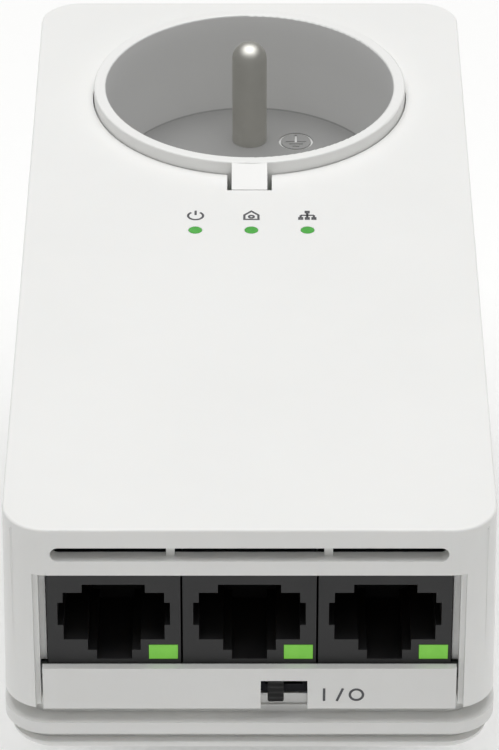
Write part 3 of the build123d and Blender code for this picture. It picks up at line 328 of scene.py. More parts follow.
@dataclass(frozen=True)
class BoardLaminate(Finish):
    """Glass-epoxy board under near-black solder resist: copper tracks show as lighter lines.

    Attributes:
        track_mm: pitch of the tracks.
    """

    track_mm: float = 0.9

    def tint(self, tree: Tree, place: Socket, patches: Socket) -> Socket:
        """Runs tracks along X or along Y, whichever the patches choose, over the plain resist.

        Args:
            tree: the material's node tree.
            place: socket of the place on the object, in metres.
            patches: socket of a pattern from 0 to 1.

        Returns:
            The colour socket.
        """
        tracks = [
            add(
                tree, "ShaderNodeTexWave", {"Scale": 1 / (self.track_mm * MM * math.pi)},
                {"Vector": place}, bands_direction=direction,
            ).outputs["Fac"]
            for direction in ("X", "Y")
        ]
        choice = add(
            tree, "ShaderNodeMath", {1: 0.5}, {0: patches}, operation="GREATER_THAN"
        ).outputs[0]
        chosen = add(
            tree, "ShaderNodeMix", links={"Factor": choice, 2: tracks[0], 3: tracks[1]}
        ).outputs[0]
        return super().tint(tree, place, chosen)


@dataclass(frozen=True)
class PlasticWithPaintedWellShade(Finish):
    """White outside, and painted shade inside the outlet's well: a light grey that deepens towards
    the floor.

    Attributes:
        well_mm: radius about the outlet's axis inside which the shade is painted.
        floor_mm: a height between the well's floor and the bottom of the engraved sign.
        rim_mm: height of the well's rim.
        painted_well_shade: painted shade of the engraved sign, the floor and the wall up to the
            rim, each with its share of the height; darkest at the floor, the sign painted lighter
            than its groove.
    """

    well_mm: float = 19.75
    floor_mm: float = 37.0
    rim_mm: float = 51.7
    # Painted shade: darkest at the well's floor and lighter up the wall; the engraved sign is
    # painted lighter.
    painted_well_shade: tuple[tuple[float, str], ...] = (
        (0.0, "#dcdcdb"), (0.01, "#757574"), (0.03, "#e0e0df"), (0.6, "#e6e6e5"), (0.97, "#eeeeed"),
    )

    def tint(self, tree: Tree, place: Socket, patches: Socket) -> Socket:
        """Takes the painted shade for the height where the distance from the axis is under the
        well's.

        Args:
            tree: the material's node tree.
            place: socket of the place on the object, in metres.
            patches: socket of a pattern from 0 to 1.

        Returns:
            The colour socket.
        """
        white = super().tint(tree, place, patches)
        flat = add(
            tree, "ShaderNodeVectorMath", {1: (1, 1, 0)}, {0: place}, operation="MULTIPLY"
        ).outputs["Vector"]
        reach = add(
            tree, "ShaderNodeVectorMath", links={0: flat}, operation="LENGTH"
        ).outputs["Value"]
        inside = add(
            tree, "ShaderNodeMath", {1: self.well_mm * MM}, {0: reach}, operation="LESS_THAN"
        ).outputs[0]
        tall = add(tree, "ShaderNodeSeparateXYZ", links={"Vector": place}).outputs["Z"]
        share = add(
            tree, "ShaderNodeMapRange",
            {"From Min": self.floor_mm * MM, "From Max": self.rim_mm * MM}, {"Value": tall},
        ).outputs["Result"]
        # The well's painted shade, by height.
        ramp = add(tree, "ShaderNodeValToRGB", links={"Fac": share})
        set_stops(ramp.color_ramp, self.painted_well_shade)
        mix = add(
            tree, "ShaderNodeMix", links={"Factor": inside, 6: white, 7: ramp.outputs["Color"]},
            data_type="RGBA",
        )
        return mix.outputs[2]


@dataclass(frozen=True)
class StripedSleeve(Finish):
    """Printed shrink sleeve of a capacitor: a pale stripe runs down one side.

    Attributes:
        stripe: the stripe's colour, sRGB hex.
        stripe_mm: the stripe's pitch across the row of cans.
        stripe_from: height of the wave above which the stripe lies.
    """

    stripe: str = "#b9bdc4"
    stripe_mm: float = 17.5
    stripe_from: float = 0.93

    def tint(self, tree: Tree, place: Socket, patches: Socket) -> Socket:
        """Gives a narrow band across X the stripe's colour.

        Args:
            tree: the material's node tree.
            place: socket of the place on the object, in metres.
            patches: socket of a pattern from 0 to 1.

        Returns:
            The colour socket.
        """
        body = super().tint(tree, place, patches)
        band = add(
            tree, "ShaderNodeTexWave", {"Scale": 1 / (self.stripe_mm * MM * math.pi)},
            {"Vector": place}, bands_direction="X",
        ).outputs["Fac"]
        narrow = add(
            tree, "ShaderNodeMath", {1: self.stripe_from}, {0: band}, operation="GREATER_THAN"
        ).outputs[0]
        mix = add(
            tree, "ShaderNodeMix", {7: linear(self.stripe)}, {"Factor": narrow, 6: body},
            data_type="RGBA",
        )
        return mix.outputs[2]


# A spark-eroded grain is really about 0.06 mm, a drawn or rolled scratch 0.02 mm and a ferrite's
# grain 0.05 mm. Reliefs are drawn three to six times as coarse, so that they show at arm's length.

# Cool white ABS from a spark-eroded mould: a soft satin sheen and an even, barely visible grain.
COVER_ABS = Finish(
    "Satin_white_ABS", "#f0f0ee", "#ededeb", 0.42, 0.04, relief_mm=0.22, depth_mm=0.0015,
    patch_mm=22, edge_mm=0.12, soak=0.12,
)
# The outlet's insert is the same plastic outside, with painted shade inside the well, deepening
# towards its floor.
INSERT_ABS = PlasticWithPaintedWellShade(
    "Satin_white_ABS_with_painted_well_shade", "#f0f0ee", "#ededeb", 0.42, 0.04, relief_mm=0.22, depth_mm=0.0015,
    patch_mm=22, edge_mm=0.12,
)
# The same plastic from a duller mould, for the parts that are seldom seen: it scatters more.
HOUSING_ABS = Finish(
    "Matt_white_ABS", "#ececea", "#e9e9e7", 0.55, 0.05, relief_mm=0.3, depth_mm=0.003,
    patch_mm=18, edge_mm=0.12, soak=0.1,
)
# Glass-filled nylon moulded near black: fibres at the surface give it a dry, streaky dullness.
BLOCK_NYLON = Finish(
    "Glass_filled_nylon", "#2a2a2d", "#35353a", 0.6, 0.1, relief_mm=0.5, depth_mm=0.01,
    patch_mm=3, edge_mm=0.1,
)
# Grey acetal: waxy and slightly translucent, as parts that slide are.
SHUTTER_ACETAL = Finish(
    "Grey_acetal", "#b7babd", "#adb0b4", 0.38, 0.06, ior=1.48, relief=Relief.PEEL, relief_mm=1.2,
    depth_mm=0.003, patch_mm=6, edge_mm=0.1, soak=0.15,
)
# Black polyester of connector bodies: fine matt grain with a faint grey bloom.
PORT_POLYESTER = Finish(
    "Black_polyester", "#1a1a1b", "#242425", 0.5, 0.08, relief_mm=0.35, depth_mm=0.006,
    patch_mm=5, edge_mm=0.08,
)
# Black acetal of the switch's knob: deep black and dull, so that its ribs hardly catch the light.
KNOB_ACETAL = Finish(
    "Black_acetal", "#0a0a0b", "#101011", 0.62, 0.06, ior=1.48, relief_mm=0.35, depth_mm=0.004,
    patch_mm=2, edge_mm=0.06,
)
# Acrylic light guide, lit from below: the tint is deep and the end shines evenly.
LIT_ACRYLIC = Finish(
    "Lit_green_acrylic", "#428f3c", "#58a350", 0.2, 0.04, ior=1.49, relief=Relief.PEEL,
    relief_mm=0.5, depth_mm=0.004, patch_mm=0.9, glow=0.42, coat=0.3,
)
# Milky polycarbonate window of a port light, lit: flat and even, yellow-green.
LIT_WINDOW = Finish(
    "Lit_window_polycarbonate", "#70c036", "#7ac83f", 0.35, 0.05, ior=1.58, relief_mm=0.4,
    depth_mm=0.003, patch_mm=1.6, edge_mm=0.06, glow=0.27,
)
# Clear epoxy over a light-emitting chip.
LED_EPOXY = Finish(
    "Clear_epoxy", "#cfe8c8", "#e6f5dc", 0.12, 0.03, ior=1.54, relief=Relief.PEEL, relief_mm=0.6,
    depth_mm=0.004, patch_mm=1, glow=0.6, clear=0.4,
)
# Zinc-plated steel: bluish, with the small dark pores of the plating.
ZINC_STEEL = Finish(
    "Zinc_plated_steel", "#b4b8bf", "#8f949d", 0.34, 0.1, metallic=1, relief=Relief.PEEL,
    relief_mm=0.4, depth_mm=0.004, patch_mm=1.5, edge_mm=0.06,
)
# Stainless wire, drawn: bright with fine lines along it.
SPRING_WIRE = Finish(
    "Drawn_stainless_wire", "#c3c4c6", "#a9abad", 0.25, 0.06, metallic=1, relief=Relief.DRAWN,
    relief_mm=0.08, depth_mm=0.001, patch_mm=1,
)
# Tinned sheet steel: soft grey gloss with rolling lines.
TINNED_SHEET = Finish(
    "Tinned_sheet_steel", "#c6c6c3", "#aeaeab", 0.3, 0.08, metallic=1, relief=Relief.DRAWN,
    relief_mm=0.15, depth_mm=0.002, patch_mm=3, edge_mm=0.05,
)
# Steel sheet with a black oxide skin: near black, with a faint metallic sheen at the folds.
BLACKENED_STEEL = Finish(
    "Black_oxide_steel", "#1b1b1d", "#27272a", 0.4, 0.08, metallic=1, relief=Relief.DRAWN,
    relief_mm=0.15, depth_mm=0.002, patch_mm=2, edge_mm=0.05,
)
# Nickel over turned brass, satin: warm grey, drawn lines along the pin, rubbed brighter in places.
SATIN_NICKEL = Finish(
    "Satin_nickel_plate", "#d6d5cf", "#cac8c1", 0.5, 0.04, metallic=1, relief=Relief.UPRIGHT,
    relief_mm=0.12, depth_mm=0.001, patch_mm=12, edge_mm=0.1,
)
# Rolled brass strip: rolling lines and brown patches where fingers touched it.
BRASS_STRIP = Finish(
    "Rolled_brass_strip", "#cfa75a", "#a47c3c", 0.3, 0.1, metallic=1, relief=Relief.DRAWN,
    relief_mm=0.15, depth_mm=0.002, patch_mm=5, edge_mm=0.08,
)
# Gold flashed on bronze wire: smooth and rich.
GOLD_FLASH = Finish(
    "Gold_flashed_bronze", "#e0b75c", "#c99b45", 0.2, 0.05, metallic=1, relief=Relief.DRAWN,
    relief_mm=0.1, depth_mm=0.001, patch_mm=2,
)
# Glass-epoxy board, printed with near-black resist: glossy, the copper tracks just showing.
BOARD_LAMINATE = BoardLaminate(
    "Black_solder_resist", "#151817", "#2a302d", 0.35, 0.06, relief=Relief.PEEL, relief_mm=0.8,
    depth_mm=0.006, patch_mm=9, coat=0.3,
)
# Moulded epoxy of a chip: dark grey with a fine sandy face.
CHIP_EPOXY = Finish(
    "Moulded_epoxy", "#2c2c2f", "#38383b", 0.55, 0.06, relief=Relief.SINTERED, relief_mm=0.25,
    depth_mm=0.006, patch_mm=4, edge_mm=0.06,
)
# Silicone pad: soft blue-grey, dull.
PAD_SILICONE = Finish(
    "Silicone_pad", "#8499a8", "#788d9c", 0.7, 0.05, ior=1.41, relief=Relief.PEEL, relief_mm=0.9,
    depth_mm=0.01, patch_mm=4, soak=0.2,
)
# Anodised extrusion: fine lines from the die, a satin grey skin.
ANODISED_ALUMINIUM = Finish(
    "Anodised_aluminium", "#9fa2a6", "#8d9094", 0.38, 0.06, metallic=1, relief=Relief.DRAWN,
    relief_mm=0.2, depth_mm=0.003, patch_mm=5, edge_mm=0.08,
)
# Fired ferrite, ground: charcoal with fine glinting grains.
FERRITE = Finish(
    "Ground_ferrite", "#3c3c40", "#4b4b50", 0.48, 0.1, relief=Relief.SINTERED, relief_mm=0.3,
    depth_mm=0.012, patch_mm=3, edge_mm=0.12,
)
# Polyester tape wound over a coil: yellow, glossy, ridged by the wires below.
WINDING_TAPE = Finish(
    "Yellow_polyester_tape", "#d9b136", "#c79c28", 0.28, 0.06, ior=1.57, relief=Relief.WOUND,
    relief_mm=0.6, depth_mm=0.03, patch_mm=4, coat=0.4,
)
# Enamelled copper, wound turn beside turn.
ENAMELLED_COPPER = Finish(
    "Enamelled_copper", "#b5622f", "#944920", 0.25, 0.06, metallic=1, relief=Relief.WOUND,
    relief_mm=0.6, depth_mm=0.12, patch_mm=3,
)
# Shrunk polyester sleeve of a capacitor: dark blue and glossy, with its pale stripe.
SLEEVE = StripedSleeve(
    "Printed_shrink_sleeve", "#1b1f33", "#232842", 0.3, 0.05, ior=1.54, relief=Relief.PEEL,
    relief_mm=1.4, depth_mm=0.008, patch_mm=5, coat=0.3,
)
# Flame-retardant box of a film capacitor: mustard, matt.
FILM_BOX = Finish(
    "Mustard_polyester_box", "#c3b06a", "#b6a25c", 0.5, 0.06, relief_mm=0.4, depth_mm=0.006,
    patch_mm=5, edge_mm=0.15,
)
# Drawn glass: clear and very smooth, with faint lines along the tube.
FUSE_GLASS = Finish(
    "Drawn_glass_tube", "#e4ecec", "#dfe9ea", 0.05, 0.02, ior=1.52, relief=Relief.DRAWN,
    relief_mm=0.6, depth_mm=0.001, patch_mm=4, clear=0.9,
)
# Dipped blue epoxy: thick, glossy, slightly lumpy.
DIPPED_EPOXY = Finish(
    "Dipped_blue_epoxy", "#26528c", "#1f4577", 0.22, 0.05, ior=1.55, relief=Relief.PEEL,
    relief_mm=1.6, depth_mm=0.03, patch_mm=3, coat=0.5,
)
# Pad-printed ink: dark grey, dry, with pinholes where the pad lifted.
PRINTED_INK = Finish(
    "Pad_printed_ink", "#4d4d50", "#5c5c5f", 0.6, 0.08, relief=Relief.PEEL, relief_mm=0.2,
    depth_mm=0.004, patch_mm=0.7,
)

FINISH_OF_SLOT: dict[str, Finish] = {
    "cover_plastic": COVER_ABS,
    "housing_plastic": HOUSING_ABS,
    "block_plastic": BLOCK_NYLON,
    "shutter_plastic": SHUTTER_ACETAL,
    "black_plastic": PORT_POLYESTER,
    "green_guide": LIT_ACRYLIC,
    "port_green": LIT_WINDOW,
    "led_lens": LED_EPOXY,
    "screw_steel": ZINC_STEEL,
    "spring_steel": SPRING_WIRE,
    "frame_steel": TINNED_SHEET,
    "blackened_steel": BLACKENED_STEEL,
    "nickel_plate": SATIN_NICKEL,
    "contact_brass": BRASS_STRIP,
    "gold_plate": GOLD_FLASH,
    "board_laminate": BOARD_LAMINATE,
    "chip_resin": CHIP_EPOXY,
    "pad_rubber": PAD_SILICONE,
    "sink_aluminium": ANODISED_ALUMINIUM,
    "ferrite": FERRITE,
    "winding_tape": WINDING_TAPE,
    "copper_wire": ENAMELLED_COPPER,
    "capacitor_sleeve": SLEEVE,
    "film_box": FILM_BOX,
    "fuse_tube": FUSE_GLASS,
    "varistor_resin": DIPPED_EPOXY,
}
SLOT_OF_NODE: dict[str, str] = {
    row["node"]: row["material_slot"] for row in frame["record"]["subparts"]
}


# Surfaces

def shell(rows: np.ndarray, ring: bool = False) -> Solid:
    """Closes a stack of loops into one solid.

    Each loop is joined to the next by a band of quads. The first and the last loop are each closed
    by a fan of triangles about the loop's middle, unless the stack itself is a ring. If the signed
    volume comes out negative, every face is turned round, so that faces point outwards.

    Args:
        rows: points as (loops, points of a loop, 3).
        ring: whether the last loop joins the first.

    Returns:
        The points, and the faces as lists of point numbers.
    """
    count, around = rows.shape[:2]
    points = rows.reshape(-1, 3)
    low = np.arange(count if ring else count - 1)[:, None]
    high = (low + 1) % count
    here = np.arange(around)[None, :]
    there = (here + 1) % around
    corners = np.broadcast_arrays(low * around + here, low * around + there,
                                  high * around + there, high * around + here)
    quads = np.stack(corners, axis=-1).reshape(-1, 4)
    fans = np.empty((0, 3), int)
    if not ring:
        points = np.vstack([points, rows[0].mean(0), rows[-1].mean(0)])
        first, last = len(points) - 2, len(points) - 1
        turn = here[0]
        beside = there[0]
        start = np.stack([beside, turn, np.full(around, first)], axis=-1)
        base = (count - 1) * around
        end = np.stack([base + turn, base + beside, np.full(around, last)], axis=-1)
        fans = np.vstack([start, end])
    triangles = np.vstack([quads[:, [0, 1, 2]], quads[:, [0, 2, 3]], fans])
    a, b, c = (points[triangles[:, n]] for n in range(3))
    volume = float(np.einsum("ij,ij->i", a, np.cross(b, c)).sum())
    step = 1 if volume > 0 else -1
    return points, [f[::step].tolist() for f in (*quads, *fans)]


def piece(
    name: str,
    shells: Sequence[Solid],
    finish: Finish,
    body: str,
    smooth_deg: float = 35.0,
) -> bpy.types.Object:
    """Makes one object out of closed shells, and rides it on a CAD body.

    Args:
        name: the piece's name.
        shells: points and faces of each closed shell.
        finish: what it is made of.
        body: the CAD body that carries it.
        smooth_deg: edges flatter than this are shaded smooth.

    Returns:
        The object.
    """
    starts = np.cumsum([0] + [len(points) for points, _ in shells])
    points = np.vstack([points for points, _ in shells])
    faces = [
        [corner + int(start) for corner in face]
        for (_, some), start in zip(shells, starts) for face in some
    ]
    mesh = bpy.data.meshes.new(name)
    mesh.from_pydata(points.tolist(), [], faces)
    mesh.update()
    mesh.shade_smooth()
    mesh.set_sharp_from_angle(angle=math.radians(smooth_deg))
    mesh.materials.append(finish.material())
    made = bpy.data.objects.new(name, mesh)
    bpy.context.scene.collection.objects.link(made)
    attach(made, body)
    return made


def circle(count: int) -> np.ndarray:
    """Directions of count points evenly around a circle, as (count, 2)."""
    turn = np.linspace(0, 2 * np.pi, count, endpoint=False)
    return np.stack([np.cos(turn), np.sin(turn)], axis=-1)


def rounded_rectangle(width: float, depth: float, corner: float, per_corner: int = 6) -> np.ndarray:
    """An outline with quarter-circle corners.

    Each corner's arc stands on its centre, which is one corner radius in from both sides.

    Args:
        width: size along the first axis.
        depth: size along the second axis.
        corner: radius of the corners.
        per_corner: points in each quarter circle.

    Returns:
        Points as (4 * per_corner, 2), anticlockwise about the origin.
    """
    quarter = np.linspace(0, np.pi / 2, per_corner)
    turn = (quarter[None, :] + np.arange(4)[:, None] * np.pi / 2).reshape(-1)
    side = np.repeat(np.array([[1, 1], [-1, 1], [-1, -1], [1, -1]]), per_corner, axis=0)
    centres = side * (np.array([width, depth]) / 2 - corner)
    return centres + corner * np.stack([np.cos(turn), np.sin(turn)], axis=-1)


def upright_block(
    low: Sequence[float], high: Sequence[float], edge: float, between: int = 2, steps: int = 5
) -> np.ndarray:
    """A block with every edge rounded, as loops stacked along Z.

    The outline is a rounded rectangle. At an angle a up the quarter circle at either end, the loop
    lies edge * (1 - cos a) from the end and is drawn in by edge * (1 - sin a) on every side.

    Args:
        low: lowest corner.
        high: highest corner.
        edge: radius of the edges.
        between: loops along the straight part.
        steps: loops over the rounding at either end.

    Returns:
        Points as (loops, n, 3).
    """
    low, high = np.asarray(low, float), np.asarray(high, float)
    size = high - low
    outline = rounded_rectangle(size[0], size[1], edge)
    turn = np.linspace(0, np.pi / 2, steps)
    inset = edge * (1 - np.sin(turn))
    rise = edge * (1 - np.cos(turn))
    straight = np.linspace(low[2] + edge, high[2] - edge, between + 2)[1:-1]
    heights = np.concatenate([low[2] + rise, straight, high[2] - rise[::-1]])
    insets = np.concatenate([inset, np.zeros(between), inset[::-1]])
    flat = outline * (1 - 2 * insets[:, None, None] / size[:2]) + (low + high)[:2] / 2
    tall = np.broadcast_to(heights[:, None, None], (*flat.shape[:2], 1))
    return np.concatenate([flat, tall], axis=-1)


def tube(
    path: np.ndarray, radius: float, side: Sequence[float], around: int = 10
) -> Solid:
    """A round wire along a flat path.

    Each loop is a circle of the wire's radius, in the plane of the path's side direction and of its
    normal, which is the side direction crossed with the path's direction.

    Args:
        path: points as (n, 3).
        radius: the wire's radius.
        side: unit direction square to the path's plane.
        around: points in each loop.

    Returns:
        Points and faces of the closed wire.
    """
    along = np.gradient(path, axis=0)
    along /= np.linalg.norm(along, axis=1, keepdims=True)
    across = np.asarray(side, float)
    normal = np.cross(across, along)
    turn = circle(around)
    ring = turn[None, :, :1] * across + turn[None, :, 1:] * normal[:, None, :]
    return shell(path[:, None, :] + radius * ring)


def arc(
    centre: Sequence[float], radius: float, start_deg: float, end_deg: float, count: int
) -> np.ndarray:
    """Points of a circular arc in a plane, as (count, 2)."""
    turn = np.radians(np.linspace(start_deg, end_deg, count))
    return np.asarray(centre) + radius * np.stack([np.cos(turn), np.sin(turn)], axis=-1)


@dataclass(frozen=True)
class Face:
    """A flat place on the housing that takes ink.

    Attributes:
        middle: the mark's middle, in metres.
        right: unit direction that reads as right.
        up: unit direction that reads as up.
    """

    middle: Point
    right: Point
    up: Point

    def place(self, flat: np.ndarray, heights: np.ndarray) -> np.ndarray:
        """Lifts flat points onto the face: the middle plus the shares right, up and outwards.

        Args:
            flat: points as (..., 2), in metres.
            heights: of each point over the face, as (...).

        Returns:
            Points as (..., 3).
        """
        outward = np.cross(self.right, self.up)
        return (
            np.asarray(self.middle) + flat[..., :1] * np.asarray(self.right)
            + flat[..., 1:] * np.asarray(self.up) + heights[..., None] * outward
        )


@dataclass
class Assembly:
    """A sub-assembly of the adapter: CAD nodes that it dresses and pieces that it builds.

    Attributes:
        nodes: the CAD nodes that it shows as they are.
        pieces: the pieces built so far.
    """

    nodes: ClassVar[tuple[str, ...]] = ()
    pieces: list = field(default_factory=list, init=False)

    def build(self) -> None:
        """Makes the pieces that the frame doesn't have. Most sub-assemblies need none."""

    def dress(self) -> None:
        """Gives every CAD node of the sub-assembly its finish, by its slot in the record."""
        for node in self.nodes:
            made = FINISH_OF_SLOT[SLOT_OF_NODE[node]].material()
            for place in frame["nodes"][node].material_slots:
                place.material = made

    def keep(self, made: bpy.types.Object, slot: str, *replaced: str) -> bpy.types.Object:
        """Books a new piece, and hides the CAD nodes that it stands for.

        Args:
            made: the piece.
            slot: the record's material slot; not used.
            replaced: CAD nodes that it stands for.

        Returns:
            The piece.
        """
        if replaced:
            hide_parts(*replaced)
        self.pieces.append(made)
        return made

    def report(self) -> None:
        """Logs what the sub-assembly consists of."""
        title = type(self).__name__
        for node in self.nodes:
            low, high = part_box(node)
            log.info("%s: %s, %.1f x %.1f x %.1f mm", title, node, *((high - low) / MM))
        for made in self.pieces:
            log.info("%s: %s, %d faces", title, made.name, len(made.data.polygons))


# Sub-assemblies

@dataclass
class Housing(Assembly):
    """The cover and the tray that it closes on."""

    nodes: ClassVar[tuple[str, ...]] = ("front_cover", "rear_housing")


@dataclass
class Outlet(Assembly):
    """The socket in the top face, with its contact block, shutter and spring.

    Attributes:
        wire_mm: radius of the spring's wire.
        turns: turns of the spring.
        per_turn: loops along one turn.
        around: points in each loop.
    """

    nodes: ClassVar[tuple[str, ...]] = (
        "outlet_insert", "outlet_earth_pin", "contact_block", "safety_shutter",
        "line_contact_left", "line_contact_right", "earth_strap",
    )
    wire_mm: float = 0.2
    turns: int = 6
    per_turn: int = 24
    around: int = 8

    def build(self) -> None:
        """Winds the shutter's spring, which the shutter presses short as it slides.

        The wire's middle line turns about an axis along Y, at the coil's radius, while it runs from
        one end to the other. Each loop is a circle of the wire's radius, in the plane of the
        outward direction and of Y.
        """
        low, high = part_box("shutter_spring")
        wire = self.wire_mm * MM
        middle = (low + high) / 2
        coil = (high.x - low.x) / 2 - wire
        share = np.linspace(0, 1, self.turns * self.per_turn + 1)
        turn = share * self.turns * 2 * np.pi
        outward = np.stack([np.cos(turn), np.zeros_like(turn), np.sin(turn)], axis=-1)
        run = low.y + wire + share * (high.y - low.y - 2 * wire)
        axis = np.stack([np.full_like(run, middle.x), run, np.full_like(run, middle.z)], axis=-1)
        ring = circle(self.around)
        loops = (
            (axis + coil * outward)[:, None, :] + wire * ring[None, :, :1] * outward[:, None, :]
            + wire * ring[None, :, 1:] * np.array(Y_AXIS)
        )
        made = piece("coiled_spring", [shell(loops)], SPRING_WIRE, HOUSING_BODY)
        self.keep(made, "spring_steel", "shutter_spring")
        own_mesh(made)

    def dress(self) -> None:
        """Gives the insert its painted well shade, over the plain white of its slot."""
        super().dress()
        for place in frame["nodes"]["outlet_insert"].material_slots:
            place.material = INSERT_ABS.material()


@dataclass
class Plug(Assembly):
    """The plug on the wall side."""

    nodes: ClassVar[tuple[str, ...]] = (
        "plug_body", "plug_pin_left", "plug_pin_right", "plug_earth_clips", "plug_earth_sleeve",
    )


@dataclass
class BoardAndParts(Assembly):
    """The circuit board and what is soldered on it."""

    nodes: ClassVar[tuple[str, ...]] = (
        "main_board", "processor", "thermal_pad", "heat_sink", "network_chip", "memory_chip",
        "crystal", "transformer_core", "transformer_winding", "choke_core", "choke_windings",
        "storage_capacitors", "film_capacitor", "fuse_glass", "fuse_caps", "varistor",
        "rectifier", "coupling_transformer",
    )


@dataclass
class Indicators(Assembly):
    """The three lights in the top face and the guide that feeds them."""

    nodes: ClassVar[tuple[str, ...]] = ("indicator_leds", "light_guide")


@dataclass
class NetworkPorts(Assembly):
    """The three network jacks, each with eight spring wires of its own.

    Attributes:
        wire_mm: radius of a spring wire.
        bend_mm: radius of the bend at a wire's front.
        slope_deg: how steeply a wire falls from its bend to its free end.
        wires: spring wires in each jack.
        bend_points: points along the bend.
        slope_points: points down the slope.
    """

    nodes: ClassVar[tuple[str, ...]] = tuple(
        f"port_{part}_{side}" for part in ("housing", "light") for side in JACKS
    )
    wire_mm: float = 0.17
    bend_mm: float = 0.45
    slope_deg: float = 10.0
    wires: int = 8
    bend_points: int = 14
    slope_points: int = 3

    def build(self) -> None:
        """Bends the wires of each jack."""
        radius = self.wire_mm * MM
        for side in JACKS:
            node = f"port_wires_{side}"
            low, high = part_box(node)
            path = self.wire_path(low, high)
            places = np.linspace(low.x + radius, high.x - radius, self.wires)
            shells = [
                tube(np.column_stack([np.full(len(path), x), path]), radius, X_AXIS)
                for x in places
            ]
            made = piece(f"spring_wires_{side}", shells, GOLD_FLASH, HOUSING_BODY)
            self.keep(made, "gold_plate", node)

    def wire_path(self, low: Vector, high: Vector) -> np.ndarray:
        """One wire's path: forward under the roof, round a bend, and back down a slope.

        The bend turns from straight up, through the front, to square to the slope. The slope runs
        until it reaches the foot of the box.

        Args:
            low: lowest corner of the wires' box.
            high: highest corner.

        Returns:
            Points as (n, 2), along Y and Z.
        """
        radius = self.wire_mm * MM
        bend = self.bend_mm * MM
        slope = math.radians(self.slope_deg)
        top = high.z - radius
        centre = (low.y + radius + bend, top - bend)
        front = arc(centre, bend, 90, 270 - self.slope_deg, self.bend_points)
        run = (front[-1, 1] - low.z - radius) / math.sin(slope)
        end = front[-1] + run * np.array([math.cos(slope), -math.sin(slope)])
        down = np.linspace(front[-1], end, self.slope_points + 1)[1:]
        return np.vstack([[(high.y - radius, top)], front, down])


@dataclass
class PowerSwitch(Assembly):
    """The slide switch behind the notch under the right-hand jack.

    Attributes:
        front_mm: depth of the knob's front block.
        ribs: grip ribs up the knob's front.
        rib_mm: height of a rib.
        front_loops: loops up the front block, enough to round every rib.
        neck_mm: how much the neck is narrower than the front block, on each side.
        foot_mm: depth of the foot behind the neck and half its height; the neck is half as high.
        edge_mm: rounding of the knob's edges.
        smooth_deg: edges flatter than this are shaded smooth, ribs among them.
    """

    nodes: ClassVar[tuple[str, ...]] = ("switch_base", "switch_frame")
    front_mm: float = 2.0
    ribs: int = 4
    rib_mm: float = 0.14
    front_loops: int = 48
    neck_mm: float = 0.15
    foot_mm: float = 0.9
    edge_mm: float = 0.2
    smooth_deg: float = 50.0

    def build(self) -> None:
        """Moulds the knob: ribbed front block, neck, and foot in the chamber.

        Over the front block's height the front face falls back by the rib's height times half of
        one minus the cosine of as many turns as there are ribs.
        """
        low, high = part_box("switch_knob")
        base_low, base_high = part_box("switch_base")
        middle = (base_low.z + base_high.z) / 2
        edge, back = self.edge_mm * MM, low.y + self.front_mm * MM
        front = upright_block(low, (high.x, back, high.z), edge, self.front_loops)
        share = (front[..., 2] - low.z) / (high.z - low.z)
        fall = self.rib_mm * MM * (0.5 - 0.5 * np.cos(2 * np.pi * self.ribs * share))
        front[..., 1] += np.where(front[..., 1] < (low.y + back) / 2, fall, 0)
        gap, foot, fine_edge = self.neck_mm * MM, self.foot_mm * MM, edge / 2
        neck = upright_block(
            (low.x + gap, back - edge, middle - foot / 2),
            (high.x - gap, high.y - foot, middle + foot / 2), fine_edge,
        )
        heel = upright_block(
            (low.x, high.y - foot - fine_edge, middle - foot),
            (high.x, high.y, middle + foot), fine_edge,
        )
        solids = [shell(front), shell(neck), shell(heel)]
        made = piece("ribbed_knob", solids, KNOB_ACETAL, KNOB_BODY, self.smooth_deg)
        self.keep(made, "black_plastic", "switch_knob")


